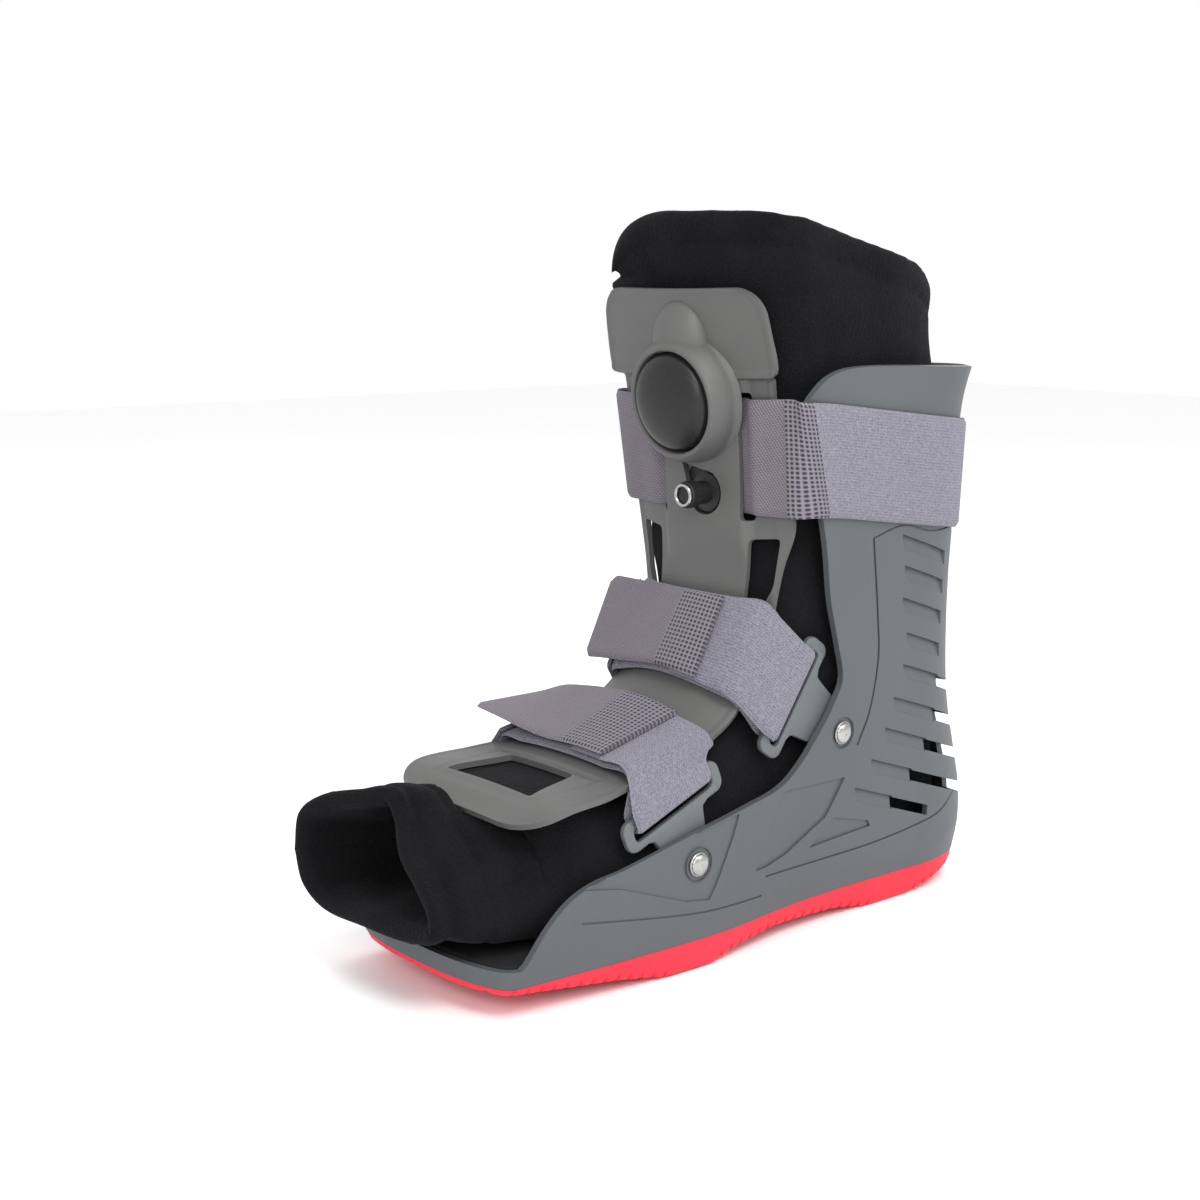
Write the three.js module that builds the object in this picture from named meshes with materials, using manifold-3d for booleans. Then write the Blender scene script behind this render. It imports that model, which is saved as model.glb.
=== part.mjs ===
// A short pneumatic walking boot: a hard plastic shell and red rocker sole under the foot and
// behind the calf, a padded open-toed liner inside it, a hard front panel with a hand pump,
// and three hook-and-loop straps that close it.
// Millimetres, +Z up, toe towards -Y, heel towards +Y, the wearer's left towards +X.
import * as THREE from "three";
import { mergeVertices } from "three/addons/utils/BufferGeometryUtils.js";
import Module from "manifold-3d";

const wasm = await Module();
wasm.setup();

// Overall sizes
const shellTop = 240; // ground to the top edge of the shell's calf wings
const toeReach = 165; // foot origin to the tip of the foot
const trayReach = 161; // foot origin to the front edge of the shell's tray
const heelReach = 136; // foot origin to the back of the heel
const footWidth = 108; // across the shell at the ball of the foot
const linerTop = 305; // ground to the top of the liner at the shin

// Walls and clearances
const shellWall = 3;
const floorThickness = 4;
const soleThickness = 13;
const footbedThickness = 3.4;
const linerWall = 7;
const linerClearance = 4.4; // shell wall to liner, where strap ends and loop plates lie
const pieceGap = 0.35; // between pieces that touch
const panelWall = 2.5;

// Straps
const strapThickness = 2;
const calfStrapWidth = 48;
const footStrapWidth = 42;
const strapSlotClearance = 2.6;

// Loop plates and rivets
const plateThickness = 3;
const plateSlotWidth = 6;
const plateBar = 4.4;
const plateClearance = 1; // shell's inner face to a loop plate
const rivetHeadRadius = 5;
const rivetShaftRadius = 2.2;
const rivetRecessRadius = 7;
const rivetRecessDepth = 0.8;
const rivetHeadHeight = 2.4;

// Front panel
const panelWidth = 92;
const panelReach = 140; // foot origin to the panel's front edge
const panelTop = 273; // ground to the panel's top edge
const panelSlotWidth = 6;
const spineHalfWidth = 21; // the raised spine of the panel that carries the pump
const spineOffset = 3;
const spineRaise = 3.4;
const panelLean = 3; // the shin part stands this far towards the wearer's right
const panelTwist = 0.075; // the shin part sits turned a little towards the wearer's left
const windowFrontWidth = 58;
const windowBackWidth = 43;
const windowLength = 27;

// Pump and valve
const pumpHeight = 228; // ground to the pump's centre
const bezelBaseRadius = 27.5;
const bezelRimRadius = 22.6;
const bezelDepth = 11;
const bulbRadius = 21;
const bulbCrown = 6;
const bulgeRadius = 15;
const valveHeight = 188;
const valveOffset = 5.5;
const valveRadius = 5.7;
const valveReach = 12;
const valveHoleRadius = 9.5;

// Louvres in the heel of the shell
const louvreHeight = 6;
const louvreSlope = 0.33;
const heelSpine = 9; // half the solid bar left down the middle of the heel

// Louvres from the lowest up: where each starts and where it opens through the wall (shares of
// heelReach), and the height of its upper front corner (share of shellTop)
const louvres = [
  { front: 0.28, height: 0.246, open: 0.47, close: 0.66 },
  { front: 0.353, height: 0.292, open: 0.56 },
  { front: 0.412, height: 0.346, open: 0.62 },
  { front: 0.449, height: 0.4, open: 0.66 },
  { front: 0.485, height: 0.458, open: 0.68 },
];

// Shell sections: heights are shares of shellTop, rears of heelReach, half widths of footWidth / 2
const shellSections = [
  { height: 0.05, rear: 0.985, ball: 0.98, waist: 0.93, arch: 0.74, heel: 0.64 },
  { height: 0.11, rear: 1.0, ball: 1.0, waist: 0.96, arch: 0.78, heel: 0.68 },
  { height: 0.18, rear: 0.99, ball: 1.0, waist: 0.97, arch: 0.82, heel: 0.71 },
  { height: 0.26, rear: 0.95, ball: 1.0, waist: 0.97, arch: 0.85, heel: 0.74 },
  { height: 0.36, rear: 0.9, ball: 1.0, waist: 0.97, arch: 0.86, heel: 0.77 },
  { height: 0.46, rear: 0.88, ball: 1.0, waist: 0.97, arch: 0.87, heel: 0.79 },
  { height: 0.6, rear: 0.872, ball: 1.0, waist: 0.97, arch: 0.9, heel: 0.82 },
  { height: 0.74, rear: 0.878, ball: 1.0, waist: 0.99, arch: 0.94, heel: 0.86 },
  { height: 0.86, rear: 0.876, ball: 1.0, waist: 1.0, arch: 0.97, heel: 0.9 },
  { height: 0.94, rear: 0.888, ball: 1.0, waist: 1.0, arch: 0.99, heel: 0.93 },
  { height: 1.02, rear: 0.93, ball: 1.03, waist: 1.04, arch: 1.03, heel: 0.98 },
];
// Stations of those half widths along the foot, as shares of toeReach towards the toe
const shellStations = { ball: 0.62, waist: 0.27, arch: -0.08, heel: -0.5 };

// The shell wall's free edge from the toe to the calf: shares of toeReach (forward) and shellTop
const wallEdge = [
  { forward: 0.885, height: 0.083 },
  { forward: 0.82, height: 0.139 },
  { forward: 0.752, height: 0.178 },
  { forward: 0.68, height: 0.198 },
  { forward: 0.59, height: 0.208 },
  { forward: 0.35, height: 0.245 },
  { forward: 0.19, height: 0.266 },
  { forward: 0.064, height: 0.284 },
  { forward: -0.015, height: 0.318 },
  { forward: -0.096, height: 0.376 },
  { forward: -0.14, height: 0.418 },
  { forward: -0.163, height: 0.455 },
  { forward: -0.14, height: 0.515 },
  { forward: -0.1, height: 0.6 },
  { forward: -0.07, height: 0.7 },
  { forward: 0.028, height: 0.934 },
  { forward: 0.006, height: 0.96 },
  { forward: -0.04, height: 0.986 },
  { forward: -0.11, height: 1.0 },
  { forward: -0.25, height: 1.002 },
  { forward: -0.9, height: 0.985 },
];

// The liner's front line from the toe up over the instep to the top of the shin, on the middle
// plane: shares of toeReach (forward) and linerTop, with the cross curve's radius by footWidth
const frontLine = [
  { forward: 1.0, height: 0.205, radius: 4 },
  { forward: 0.85, height: 0.229, radius: 5 },
  { forward: 0.755, height: 0.252, radius: 6 },
  { forward: 0.6, height: 0.26, radius: 5 },
  { forward: 0.51, height: 0.27, radius: 2.5 },
  { forward: 0.4, height: 0.295, radius: 1 },
  { forward: 0.27, height: 0.333, radius: 0.65 },
  { forward: 0.17, height: 0.38, radius: 0.62 },
  { forward: 0.1, height: 0.4375, radius: 0.75 },
  { forward: 0.078, height: 0.49, radius: 1 },
  { forward: 0.066, height: 0.56, radius: 1.4 },
  { forward: 0.07, height: 0.65, radius: 1.7 },
  { forward: 0.09, height: 0.75, radius: 1.8 },
  { forward: 0.122, height: 0.84, radius: 1.8 },
  { forward: 0.14, height: 0.9, radius: 1.8 },
  { forward: 0.165, height: 1.0, radius: 1.8 },
];
const instepRows = 9; // rows of the front line from the toe to the ankle

// The liner's top edge: shares of toeReach (forward) and linerTop
const linerEdge = [
  { forward: 0.4, height: 1.0 },
  { forward: 0.13, height: 1.0 },
  { forward: 0.0, height: 0.988 },
  { forward: -0.13, height: 0.968 },
  { forward: -0.27, height: 0.948 },
  { forward: -0.39, height: 0.932 },
  { forward: -0.52, height: 0.9 },
  { forward: -0.62, height: 0.872 },
  { forward: -0.8, height: 0.86 },
];

// The liner's foot: shares of toeReach (forward), of footWidth / 2 (left is the wearer's right side,
// right their left) and of linerTop (puff above the front line, rise of the underside). Slant is
// how far a section turns back towards the wearer's left.
const linerFoot = [
  { forward: 1.1, left: 0.97, right: 0.36, puff: 0.038, rise: 0.03, slant: 0.36 },
  { forward: 1.03, left: 1.0, right: 0.5, puff: 0.038, rise: 0.012, slant: 0.3 },
  { forward: 0.97, left: 0.99, right: 0.6, puff: 0.026, rise: 0, slant: 0.22 },
  { forward: 0.9, left: 0.95, right: 0.7, puff: 0.012, rise: 0, slant: 0.12 },
  { forward: 0.82, left: 0.91, right: 0.8, puff: -0.011, rise: 0, slant: 0.05 },
  { forward: 0.72, left: 0.88, right: 0.86, puff: -0.016, rise: 0, slant: 0 },
  { forward: 0.58, left: 0.86, right: 0.86, puff: -0.014, rise: 0, slant: 0 },
  { forward: 0.4, left: 0.85, right: 0.85, puff: -0.011, rise: 0, slant: 0 },
  { forward: 0.22, left: 0.79, right: 0.79, puff: -0.011, rise: 0, slant: 0 },
  { forward: 0.1, left: 0.73, right: 0.73, puff: -0.02, rise: 0, slant: 0 },
  { forward: -0.12, left: 0.66, right: 0.66, puff: -0.06, rise: 0, slant: 0 },
];

// The panel's half width from its front tip to its top: shares of its length and of panelWidth / 2
const panelOutline = [
  { along: 0.0, half: 1.06 },
  { along: 0.04, half: 1.12 },
  { along: 0.12, half: 1.09 },
  { along: 0.2, half: 0.98 },
  { along: 0.28, half: 0.93 },
  { along: 0.34, half: 0.88 },
  { along: 0.4, half: 0.86 },
  { along: 0.46, half: 0.79 },
  { along: 0.52, half: 0.84 },
  { along: 0.59, half: 0.92 },
  { along: 0.66, half: 0.95 },
  { along: 0.75, half: 0.97 },
  { along: 0.84, half: 1.0 },
  { along: 0.93, half: 1.0 },
  { along: 0.965, half: 0.97 },
  { along: 0.988, half: 0.9 },
  { along: 1.0, half: 0.8 },
];

// The outsole's underside: shares of toeReach (forward) and soleThickness; flats touch the ground
const soleProfile = [
  { forward: 1.0, height: 0.86 },
  { forward: 0.93, height: 0.76 },
  { forward: 0.83, height: 0.64 },
  { forward: 0.6, height: 0.33 },
  { forward: 0.45, height: 0 },
  { forward: 0.29, height: 0 },
  { forward: 0.2, height: 0.25 },
  { forward: 0.04, height: 0.39 },
  { forward: -0.2, height: 0.26 },
  { forward: -0.34, height: 0 },
  { forward: -0.5, height: 0 },
  { forward: -0.6, height: 0.22 },
  { forward: -0.7, height: 0.5 },
  { forward: -0.82, height: 0.88 },
];

// Loop plates: where the rivet and the bar lie on the shell's side, shares of toeReach and shellTop
const loopPlates = [
  { name: "ankle", rivetForward: -0.172, rivetHeight: 0.354, barForward: 0.018, barHeight: 0.443 },
  { name: "forefoot", rivetForward: 0.357, rivetHeight: 0.188, barForward: 0.43, barHeight: 0.309 },
];

const up = new THREE.Vector3(0, 0, 1);
const across = new THREE.Vector3(1, 0, 0);

// Interpolates a table smoothly: key is the column looked up, column the one read.
function smooth(table, key, column, at) {
  const rows = [...table].sort((a, b) => a[key] - b[key]);
  if (at <= rows[0][key]) return rows[0][column];
  const last = rows.length - 1;
  if (at >= rows[last][key]) return rows[last][column];
  const i = rows.findIndex((row) => row[key] > at) - 1;
  const slope = (j) => {
    const a = rows[Math.max(j - 1, 0)];
    const b = rows[Math.min(j + 1, last)];
    return (b[column] - a[column]) / (b[key] - a[key]);
  };
  const span = rows[i + 1][key] - rows[i][key];
  const t = (at - rows[i][key]) / span;
  const start = (1 + 2 * t) * (1 - t) ** 2 * rows[i][column] + t * (1 - t) ** 2 * span * slope(i);
  const end = t * t * (3 - 2 * t) * rows[i + 1][column] + t * t * (t - 1) * span * slope(i + 1);
  return start + end;
}

const fade = (from, to, at) => THREE.MathUtils.smoothstep(at, from, to);

// A manifold solid from points and triangles, turned so that its faces point out.
function solidOf(points, triangles) {
  const vertProperties = new Float32Array(points.flatMap((p) => [p.x, p.y, p.z]));
  const build = (triVerts) => new wasm.Manifold(new wasm.Mesh({ numProp: 3, vertProperties, triVerts }));
  const made = build(new Uint32Array(triangles.flat()));
  if (made.volume() > 0) return made;
  return build(new Uint32Array(triangles.flatMap(([a, b, c]) => [a, c, b])));
}

// The largest body of a solid, without the slivers that a cut along a face can leave.
function largest(solid) {
  const bodies = solid.decompose();
  return bodies.reduce((best, body) => (body.volume() > best.volume() ? body : best));
}

// A manifold solid from a closed three.js geometry.
function solidFrom(geometry, matrix = new THREE.Matrix4()) {
  const bare = geometry.clone().applyMatrix4(matrix);
  bare.deleteAttribute("normal");
  bare.deleteAttribute("uv");
  const merged = mergeVertices(bare, 1e-4);
  const corners = merged.attributes.position;
  const point = (_, i) => new THREE.Vector3().fromBufferAttribute(corners, i);
  const points = Array.from({ length: corners.count }, point);
  const flat = merged.index.array;
  const triangles = [];
  for (let i = 0; i < flat.length; i += 3) {
    const [a, b, c] = flat.slice(i, i + 3);
    if (a !== b && b !== c && c !== a) triangles.push([a, b, c]);
  }
  return solidOf(points, triangles);
}

// Joins rings of equal length into a closed solid, with a fan over each end.
function loft(rings) {
  const count = rings[0].length;
  const points = rings.flat();
  const triangles = [];
  for (let r = 0; r + 1 < rings.length; r++)
    for (let i = 0; i < count; i++) {
      const a = r * count + i;
      const b = r * count + ((i + 1) % count);
      triangles.push([a, b, b + count], [a, b + count, a + count]);
    }
  for (const [ring, start] of [[rings[0], 0], [rings.at(-1), (rings.length - 1) * count]]) {
    const middle = ring.reduce((sum, p) => sum.add(p), new THREE.Vector3()).divideScalar(count);
    points.push(middle);
    for (let i = 0; i < count; i++) {
      const edge = [start + ((i + 1) % count), start + i];
      triangles.push(start ? [edge[1], edge[0], points.length - 1] : [...edge, points.length - 1]);
    }
  }
  return solidOf(points, triangles);
}

// A sheet about a surface of two parameters, each from 0 to 1, in columns by rows of cells.
// place(u, v) returns a point; below and above are the thickness on each side of it.
function sheet(columns, rows, place, below, above) {
  const step = 1e-3;
  const points = [];
  for (const offset of [-below, above])
    for (let i = 0; i <= columns; i++)
      for (let j = 0; j <= rows; j++) {
        const [u, v] = [i / columns, j / rows];
        const alongU = place(Math.min(u + step, 1), v).sub(place(Math.max(u - step, 0), v));
        const alongV = place(u, Math.min(v + step, 1)).sub(place(u, Math.max(v - step, 0)));
        const normal = alongU.cross(alongV).normalize();
        points.push(place(u, v).addScaledVector(normal, offset));
      }
  const layer = (columns + 1) * (rows + 1);
  const at = (side, i, j) => side * layer + i * (rows + 1) + j;
  const triangles = [];
  const quad = (a, b, c, d) => triangles.push([a, b, c], [a, c, d]);
  for (let i = 0; i < columns; i++)
    for (let j = 0; j < rows; j++) {
      quad(at(0, i, j), at(0, i, j + 1), at(0, i + 1, j + 1), at(0, i + 1, j));
      quad(at(1, i, j), at(1, i + 1, j), at(1, i + 1, j + 1), at(1, i, j + 1));
    }
  for (let i = 0; i < columns; i++) {
    quad(at(0, i, 0), at(0, i + 1, 0), at(1, i + 1, 0), at(1, i, 0));
    quad(at(0, i, rows), at(1, i, rows), at(1, i + 1, rows), at(0, i + 1, rows));
  }
  for (let j = 0; j < rows; j++) {
    quad(at(0, 0, j), at(1, 0, j), at(1, 0, j + 1), at(0, 0, j + 1));
    quad(at(0, columns, j), at(0, columns, j + 1), at(1, columns, j + 1), at(1, columns, j));
  }
  return solidOf(points, triangles);
}

// A prism along X over an outline of [y, z] pairs.
function sidePrism(outline, fromX, toX) {
  const shape = new THREE.Shape(outline.map(([y, z]) => new THREE.Vector2(y, z)));
  const geometry = new THREE.ExtrudeGeometry(shape, { depth: toX - fromX, bevelEnabled: false });
  const turn = new THREE.Matrix4().makeBasis(new THREE.Vector3(0, 1, 0), up, across);
  return solidFrom(geometry, turn.setPosition(fromX, 0, 0));
}

// A prism along the direction outwards over a shape whose X lies along side and Y along rise.
function framedPrism(shape, origin, side, rise, out, from, to) {
  const options = { depth: to - from, bevelEnabled: false, curveSegments: 3 };
  const geometry = new THREE.ExtrudeGeometry(shape, options);
  const turn = new THREE.Matrix4().makeBasis(side, rise, out);
  return solidFrom(geometry, turn.setPosition(origin.clone().addScaledVector(out, from)));
}

// A solid of revolution about the line from origin along out.
function turned(profile, origin, out, segments) {
  const geometry = new THREE.LatheGeometry(profile.map(([r, h]) => new THREE.Vector2(r, h)), segments);
  const turn = new THREE.Matrix4().makeRotationFromQuaternion(
    new THREE.Quaternion().setFromUnitVectors(new THREE.Vector3(0, 1, 0), out),
  );
  return solidFrom(geometry, turn.setPosition(origin));
}

// Shell

// Half width of the shell's outer face at reach y and height z, away from its rounded ends.
function shellHalfWidth(y, z) {
  const columns = Object.entries(shellStations).map(([name, forward]) => ({
    reach: -forward * toeReach,
    half: smooth(shellSections, "height", name, z / shellTop) * (footWidth / 2),
  }));
  return smooth(columns, "reach", "half", y);
}

const shellRear = (z) => smooth(shellSections, "height", "rear", z / shellTop) * heelReach;

// The shell's plan outline at height z, inset from the outer face, from the heel round the toe.
function planOutline(z, inset = 0) {
  const heelDepth = 0.36 * heelReach;
  const toeDepth = 0.085 * toeReach;
  const rear = shellRear(z);
  const heelStart = rear - heelDepth;
  const toeStart = toeDepth - trayReach;
  const half = [];
  const capSteps = 5;
  for (let i = 0; i <= capSteps; i++) {
    const angle = (Math.PI / 2) * (1 - i / capSteps);
    const y = heelStart + (heelDepth - inset) * Math.sin(angle) ** (2 / 2.15);
    const x = (shellHalfWidth(heelStart, z) - inset) * Math.cos(angle) ** (2 / 2.15);
    half.push([i ? x : 0, y]);
  }
  const sideSteps = 5;
  for (let i = 1; i < sideSteps; i++) {
    const y = THREE.MathUtils.lerp(heelStart, toeStart, i / sideSteps);
    half.push([shellHalfWidth(y, z) - inset, y]);
  }
  const toeSteps = 3;
  for (let i = 0; i <= toeSteps; i++) {
    const angle = (Math.PI / 2) * (i / toeSteps);
    const y = toeStart - (toeDepth - inset) * Math.sin(angle) ** (2 / 2.3);
    const x = (shellHalfWidth(toeStart, z) - inset) * Math.cos(angle) ** (2 / 2.3);
    half.push([i < toeSteps ? x : 0, y]);
  }
  const other = half.slice(1, -1).reverse().map(([x, y]) => [-x, y]);
  return [...half, ...other].map(([x, y]) => new THREE.Vector3(x, y, z));
}

const shellFloorTop = soleThickness + floorThickness;

function shellForm(inset, bottom, top) {
  const rowHeights = shellSections.map((row) => row.height * shellTop);
  const heights = rowHeights.filter((z) => z > bottom + 2 && z < top - 1);
  return loft([bottom, ...heights, top].map((z) => planOutline(z, inset)));
}

// The region behind the wall's free edge, seen from the side, as [y, z] pairs.
function wallRegion() {
  const edge = wallEdge.map((row) => new THREE.Vector2(-row.forward * toeReach, row.height * shellTop));
  const behind = heelReach * 1.3;
  const front = -toeReach * 1.1;
  return [
    [front, 0],
    [front, wallEdge[0].height * shellTop],
    ...edge.map((p) => [p.x, p.y]),
    [behind, wallEdge.at(-1).height * shellTop],
    [behind, 0],
  ];
}

// A louvre's band as [y, z] pairs between two reaches: it drops towards the heel.
function louvreBand(row, from, to) {
  const top = (y) => row.height * shellTop - (y - row.front * heelReach) * louvreSlope;
  return [[from, top(from) - louvreHeight], [to, top(to) - louvreHeight], [to, top(to)], [from, top(from)]];
}

function cutLouvres(shell) {
  for (const row of louvres)
    for (const side of [-1, 1]) {
      const [from, to] = side > 0 ? [heelSpine, footWidth] : [-footWidth, -heelSpine];
      const opening = louvreBand(row, row.open * heelReach, (row.close ?? 1.2) * heelReach);
      shell = shell.subtract(sidePrism(opening, from, to));
    }
  return shell;
}

// The frame of a loop plate on one side: its origin on the rivet's axis at the shell's outer face.
function plateFrame(plate, side) {
  const y = -plate.rivetForward * toeReach;
  const z = plate.rivetHeight * shellTop;
  const slopeY = (shellHalfWidth(y + 1, z) - shellHalfWidth(y - 1, z)) / 2;
  const slopeZ = (shellHalfWidth(y, z + 1) - shellHalfWidth(y, z - 1)) / 2;
  const out = new THREE.Vector3(side, -slopeY, -slopeZ).normalize();
  const origin = new THREE.Vector3(side * shellHalfWidth(y, z), y, z);
  const toBar = new THREE.Vector3(0, -plate.barForward * toeReach - y, plate.barHeight * shellTop - z);
  const length = toBar.length();
  const rise = toBar.addScaledVector(out, -toBar.dot(out)).normalize();
  const along = rise.clone().cross(out);
  return { origin, out, rise, along, length };
}

const plateSeat = shellWall + plateClearance + plateThickness; // shell's outer face to a plate's inner face

// A round outline of straight sides that touch the circle of the given radius.
function circleShape(radius, sides = 8) {
  const corner = radius / Math.cos(Math.PI / sides);
  const turn = (i) => (2 * Math.PI * i) / sides;
  const vertex = (_, i) => new THREE.Vector2(Math.cos(turn(i)), Math.sin(turn(i)));
  const corners = Array.from({ length: sides }, vertex);
  return new THREE.Shape(corners.map((point) => point.multiplyScalar(corner)));
}

// The slot in the shell's calf part that each end of the calf strap passes through.
const calfSlotReach = 0.75 * heelReach;
const calfStrapHeight = { front: 0.85 * shellTop, rear: 0.795 * shellTop };

function buildShell() {
  const outer = shellForm(0, soleThickness, shellTop * 1.015);
  const inner = shellForm(shellWall, shellFloorTop, shellTop * 1.02);
  let shell = outer.subtract(inner).intersect(sidePrism(wallRegion(), -footWidth, footWidth));
  shell = cutLouvres(shell);
  const slotHalf = calfStrapWidth / 2 + strapSlotClearance;
  const slotRear = calfSlotReach + strapThickness + 2 * strapSlotClearance + 1;
  const slotBottom = calfStrapHeight.rear - slotHalf;
  const slotTop = calfStrapHeight.rear + slotHalf;
  const slot = [
    [calfSlotReach, slotBottom],
    [slotRear, slotBottom],
    [slotRear, slotTop],
    [calfSlotReach, slotTop],
  ];
  shell = shell.subtract(sidePrism(slot, 0.2 * footWidth, footWidth));
  shell = shell.subtract(sidePrism(slot, -footWidth, -0.2 * footWidth));
  for (const plate of loopPlates)
    for (const side of [-1, 1]) {
      const { origin, out, rise, along } = plateFrame(plate, side);
      const hole = circleShape(rivetShaftRadius + pieceGap);
      const recess = circleShape(rivetRecessRadius);
      shell = shell.subtract(framedPrism(hole, origin, along, rise, out, -2 * shellWall, shellWall));
      shell = shell.subtract(framedPrism(recess, origin, along, rise, out, -rivetRecessDepth, shellWall));
    }
  return largest(shell);
}

// Outsole and footbed

function planPrism(inset, bottom, top) {
  const ring = planOutline(soleThickness, inset);
  return loft([bottom, top].map((z) => ring.map((p) => new THREE.Vector3(p.x, p.y, z))));
}

function buildOutsole() {
  const underside = soleProfile.map((row) => [-row.forward * toeReach, row.height * soleThickness]);
  const top = soleThickness - pieceGap;
  const toeBottom = soleProfile[0].height * soleThickness;
  const side = [[-toeReach * 1.05, top], [-toeReach * 1.05, toeBottom], ...underside];
  side.push([heelReach * 1.05, top * 0.99], [heelReach * 1.05, top]);
  let outsole = planPrism(0.6, -1, soleThickness * 1.5).intersect(sidePrism(side, -footWidth, footWidth));
  const grooveWidth = 3;
  const grooveDepth = 0.2 * soleThickness;
  const grooveZones = [
    { from: 0.9, to: 0.48, count: 6 },
    { from: 0.16, to: -0.3, count: 5 },
    { from: -0.53, to: -0.72, count: 3 },
  ];
  for (const zone of grooveZones)
    for (let i = 0; i < zone.count; i++) {
      const forward = THREE.MathUtils.lerp(zone.from, zone.to, (i + 0.5) / zone.count);
      const y = -forward * toeReach;
      const z = smooth(soleProfile, "forward", "height", forward) * soleThickness;
      const cut = [[y - grooveWidth / 2, -2], [y + grooveWidth / 2, -2]];
      cut.push([y + grooveWidth / 2, z + grooveDepth], [y - grooveWidth / 2, z + grooveDepth]);
      outsole = outsole.subtract(sidePrism(cut, -footWidth, footWidth));
    }
  return outsole;
}

const footbedTop = shellFloorTop + pieceGap + footbedThickness;

function buildFootbed() {
  const bottom = shellFloorTop + pieceGap;
  const clear = shellWall + 1.2;
  const outline = planOutline(soleThickness, clear);
  return loft([bottom, footbedTop].map((z) => outline.map((p) => new THREE.Vector3(p.x, p.y, z))));
}

// The front line and the surface that the panel and straps follow

const frontCurve = new THREE.CatmullRomCurve3(
  frontLine.map((row) => new THREE.Vector3(0, -row.forward * toeReach, row.height * linerTop)),
);
frontCurve.arcLengthDivisions = 400;
const frontLength = frontCurve.getLength();

// Distance along the front line at which it reaches height z, counted from the toe.
function stationAtHeight(z) {
  let [low, high] = [0.12, 1];
  for (let i = 0; i < 30; i++) {
    const middle = (low + high) / 2;
    if (frontCurve.getPointAt(middle).z < z) low = middle;
    else high = middle;
  }
  return low * frontLength;
}

// A point over the front line: station along it, x across, lift outwards from the liner's face.
function overFront(station, x, lift) {
  const share = THREE.MathUtils.clamp(station / frontLength, 0, 1);
  const base = frontCurve.getPointAt(share);
  const tangent = frontCurve.getTangentAt(share);
  const out = new THREE.Vector3(0, -tangent.z, tangent.y);
  const radius = smooth(frontLine, "height", "radius", base.z / linerTop) * footWidth;
  const twist = panelTwist * fade(0.48 * linerTop, 0.7 * linerTop, base.z);
  const point = base.addScaledVector(out, -(x * x) / (2 * radius) - twist * x);
  point.x = x;
  const normal = out.addScaledVector(across, x / radius).normalize();
  return point.addScaledVector(normal, lift);
}

// Front panel

// Distance along the front line, counted from the toe, at which it reaches y on the foot part.
function stationAtReach(y) {
  let [low, high] = [0, 0.6];
  for (let i = 0; i < 30; i++) {
    const middle = (low + high) / 2;
    if (frontCurve.getPointAt(middle).y < y) low = middle;
    else high = middle;
  }
  return low * frontLength;
}

const panelTopStation = stationAtHeight(panelTop);
const panelFrontStation = stationAtReach(-panelReach);
const pumpStation = stationAtHeight(pumpHeight);
const valveStation = stationAtHeight(valveHeight);
const calfStation = stationAtHeight(calfStrapHeight.front);
const spineEdges = { left: spineOffset + spineHalfWidth, right: spineOffset - spineHalfWidth };

const panelHalf = (along) => smooth(panelOutline, "along", "half", along) * (panelWidth / 2);

// Places across the panel, from its right edge to its left one, that its cells break at.
function panelBreaks(half, lean) {
  const { left, right } = spineEdges;
  const middle = (left + right) / 2;
  const inner = [right - panelSlotWidth, right, (right + middle) / 2, middle, (left + middle) / 2, left];
  const [from, to] = [-half - lean, half - lean];
  return [from, ...inner, left + panelSlotWidth, to].map((x) => THREE.MathUtils.clamp(x, from, to));
}

// How far the panel's spine stands off the liner, so that the calf strap passes behind it.
function spineLift(station, x) {
  const outside = Math.max(x - spineEdges.left, spineEdges.right - x, 0);
  const beside = 1 - fade(0, panelSlotWidth, outside);
  const shin = fade(stationAtHeight(0.5 * linerTop), stationAtHeight(0.57 * linerTop), station);
  return pieceGap + spineRaise * beside * shin;
}

function panelSheet() {
  const cells = 8;
  const place = (u, v) => {
    const along = THREE.MathUtils.clamp(u, 0, 1);
    const station = THREE.MathUtils.lerp(panelFrontStation, panelTopStation, along);
    const breaks = panelBreaks(panelHalf(along), panelLean * fade(0.5, 0.7, along));
    const cell = Math.min(Math.floor(v * cells), cells - 1);
    const x = THREE.MathUtils.lerp(breaks[cell], breaks[cell + 1], v * cells - cell);
    return overFront(station, x, spineLift(station, x));
  };
  return sheet(22, cells, place, panelWall, 0);
}

// Frame on the panel's outer face at a station on its middle line, moved across by x.
function panelFrame(station, x) {
  const origin = overFront(station, x, spineLift(station, x) + panelWall);
  const rise = overFront(station + 1, x, 0).sub(overFront(station - 1, x, 0)).normalize();
  const sideways = overFront(station, x + 1, 0).sub(overFront(station, x - 1, 0)).normalize();
  const out = sideways.clone().cross(rise).normalize();
  return { origin, rise, out, sideways: rise.clone().cross(out) };
}

// Cuts a shape drawn in millimetres on the panel (X across, Y up the shin) right through it.
function throughPanel(panel, shape, station, x) {
  const { origin, rise, out, sideways } = panelFrame(station, x);
  return panel.subtract(framedPrism(shape, origin, sideways, rise, out, -4 * panelWall, 4 * panelWall));
}

const cornerShape = (corners) => new THREE.Shape(corners.map(([x, y]) => new THREE.Vector2(x, y)));

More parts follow.
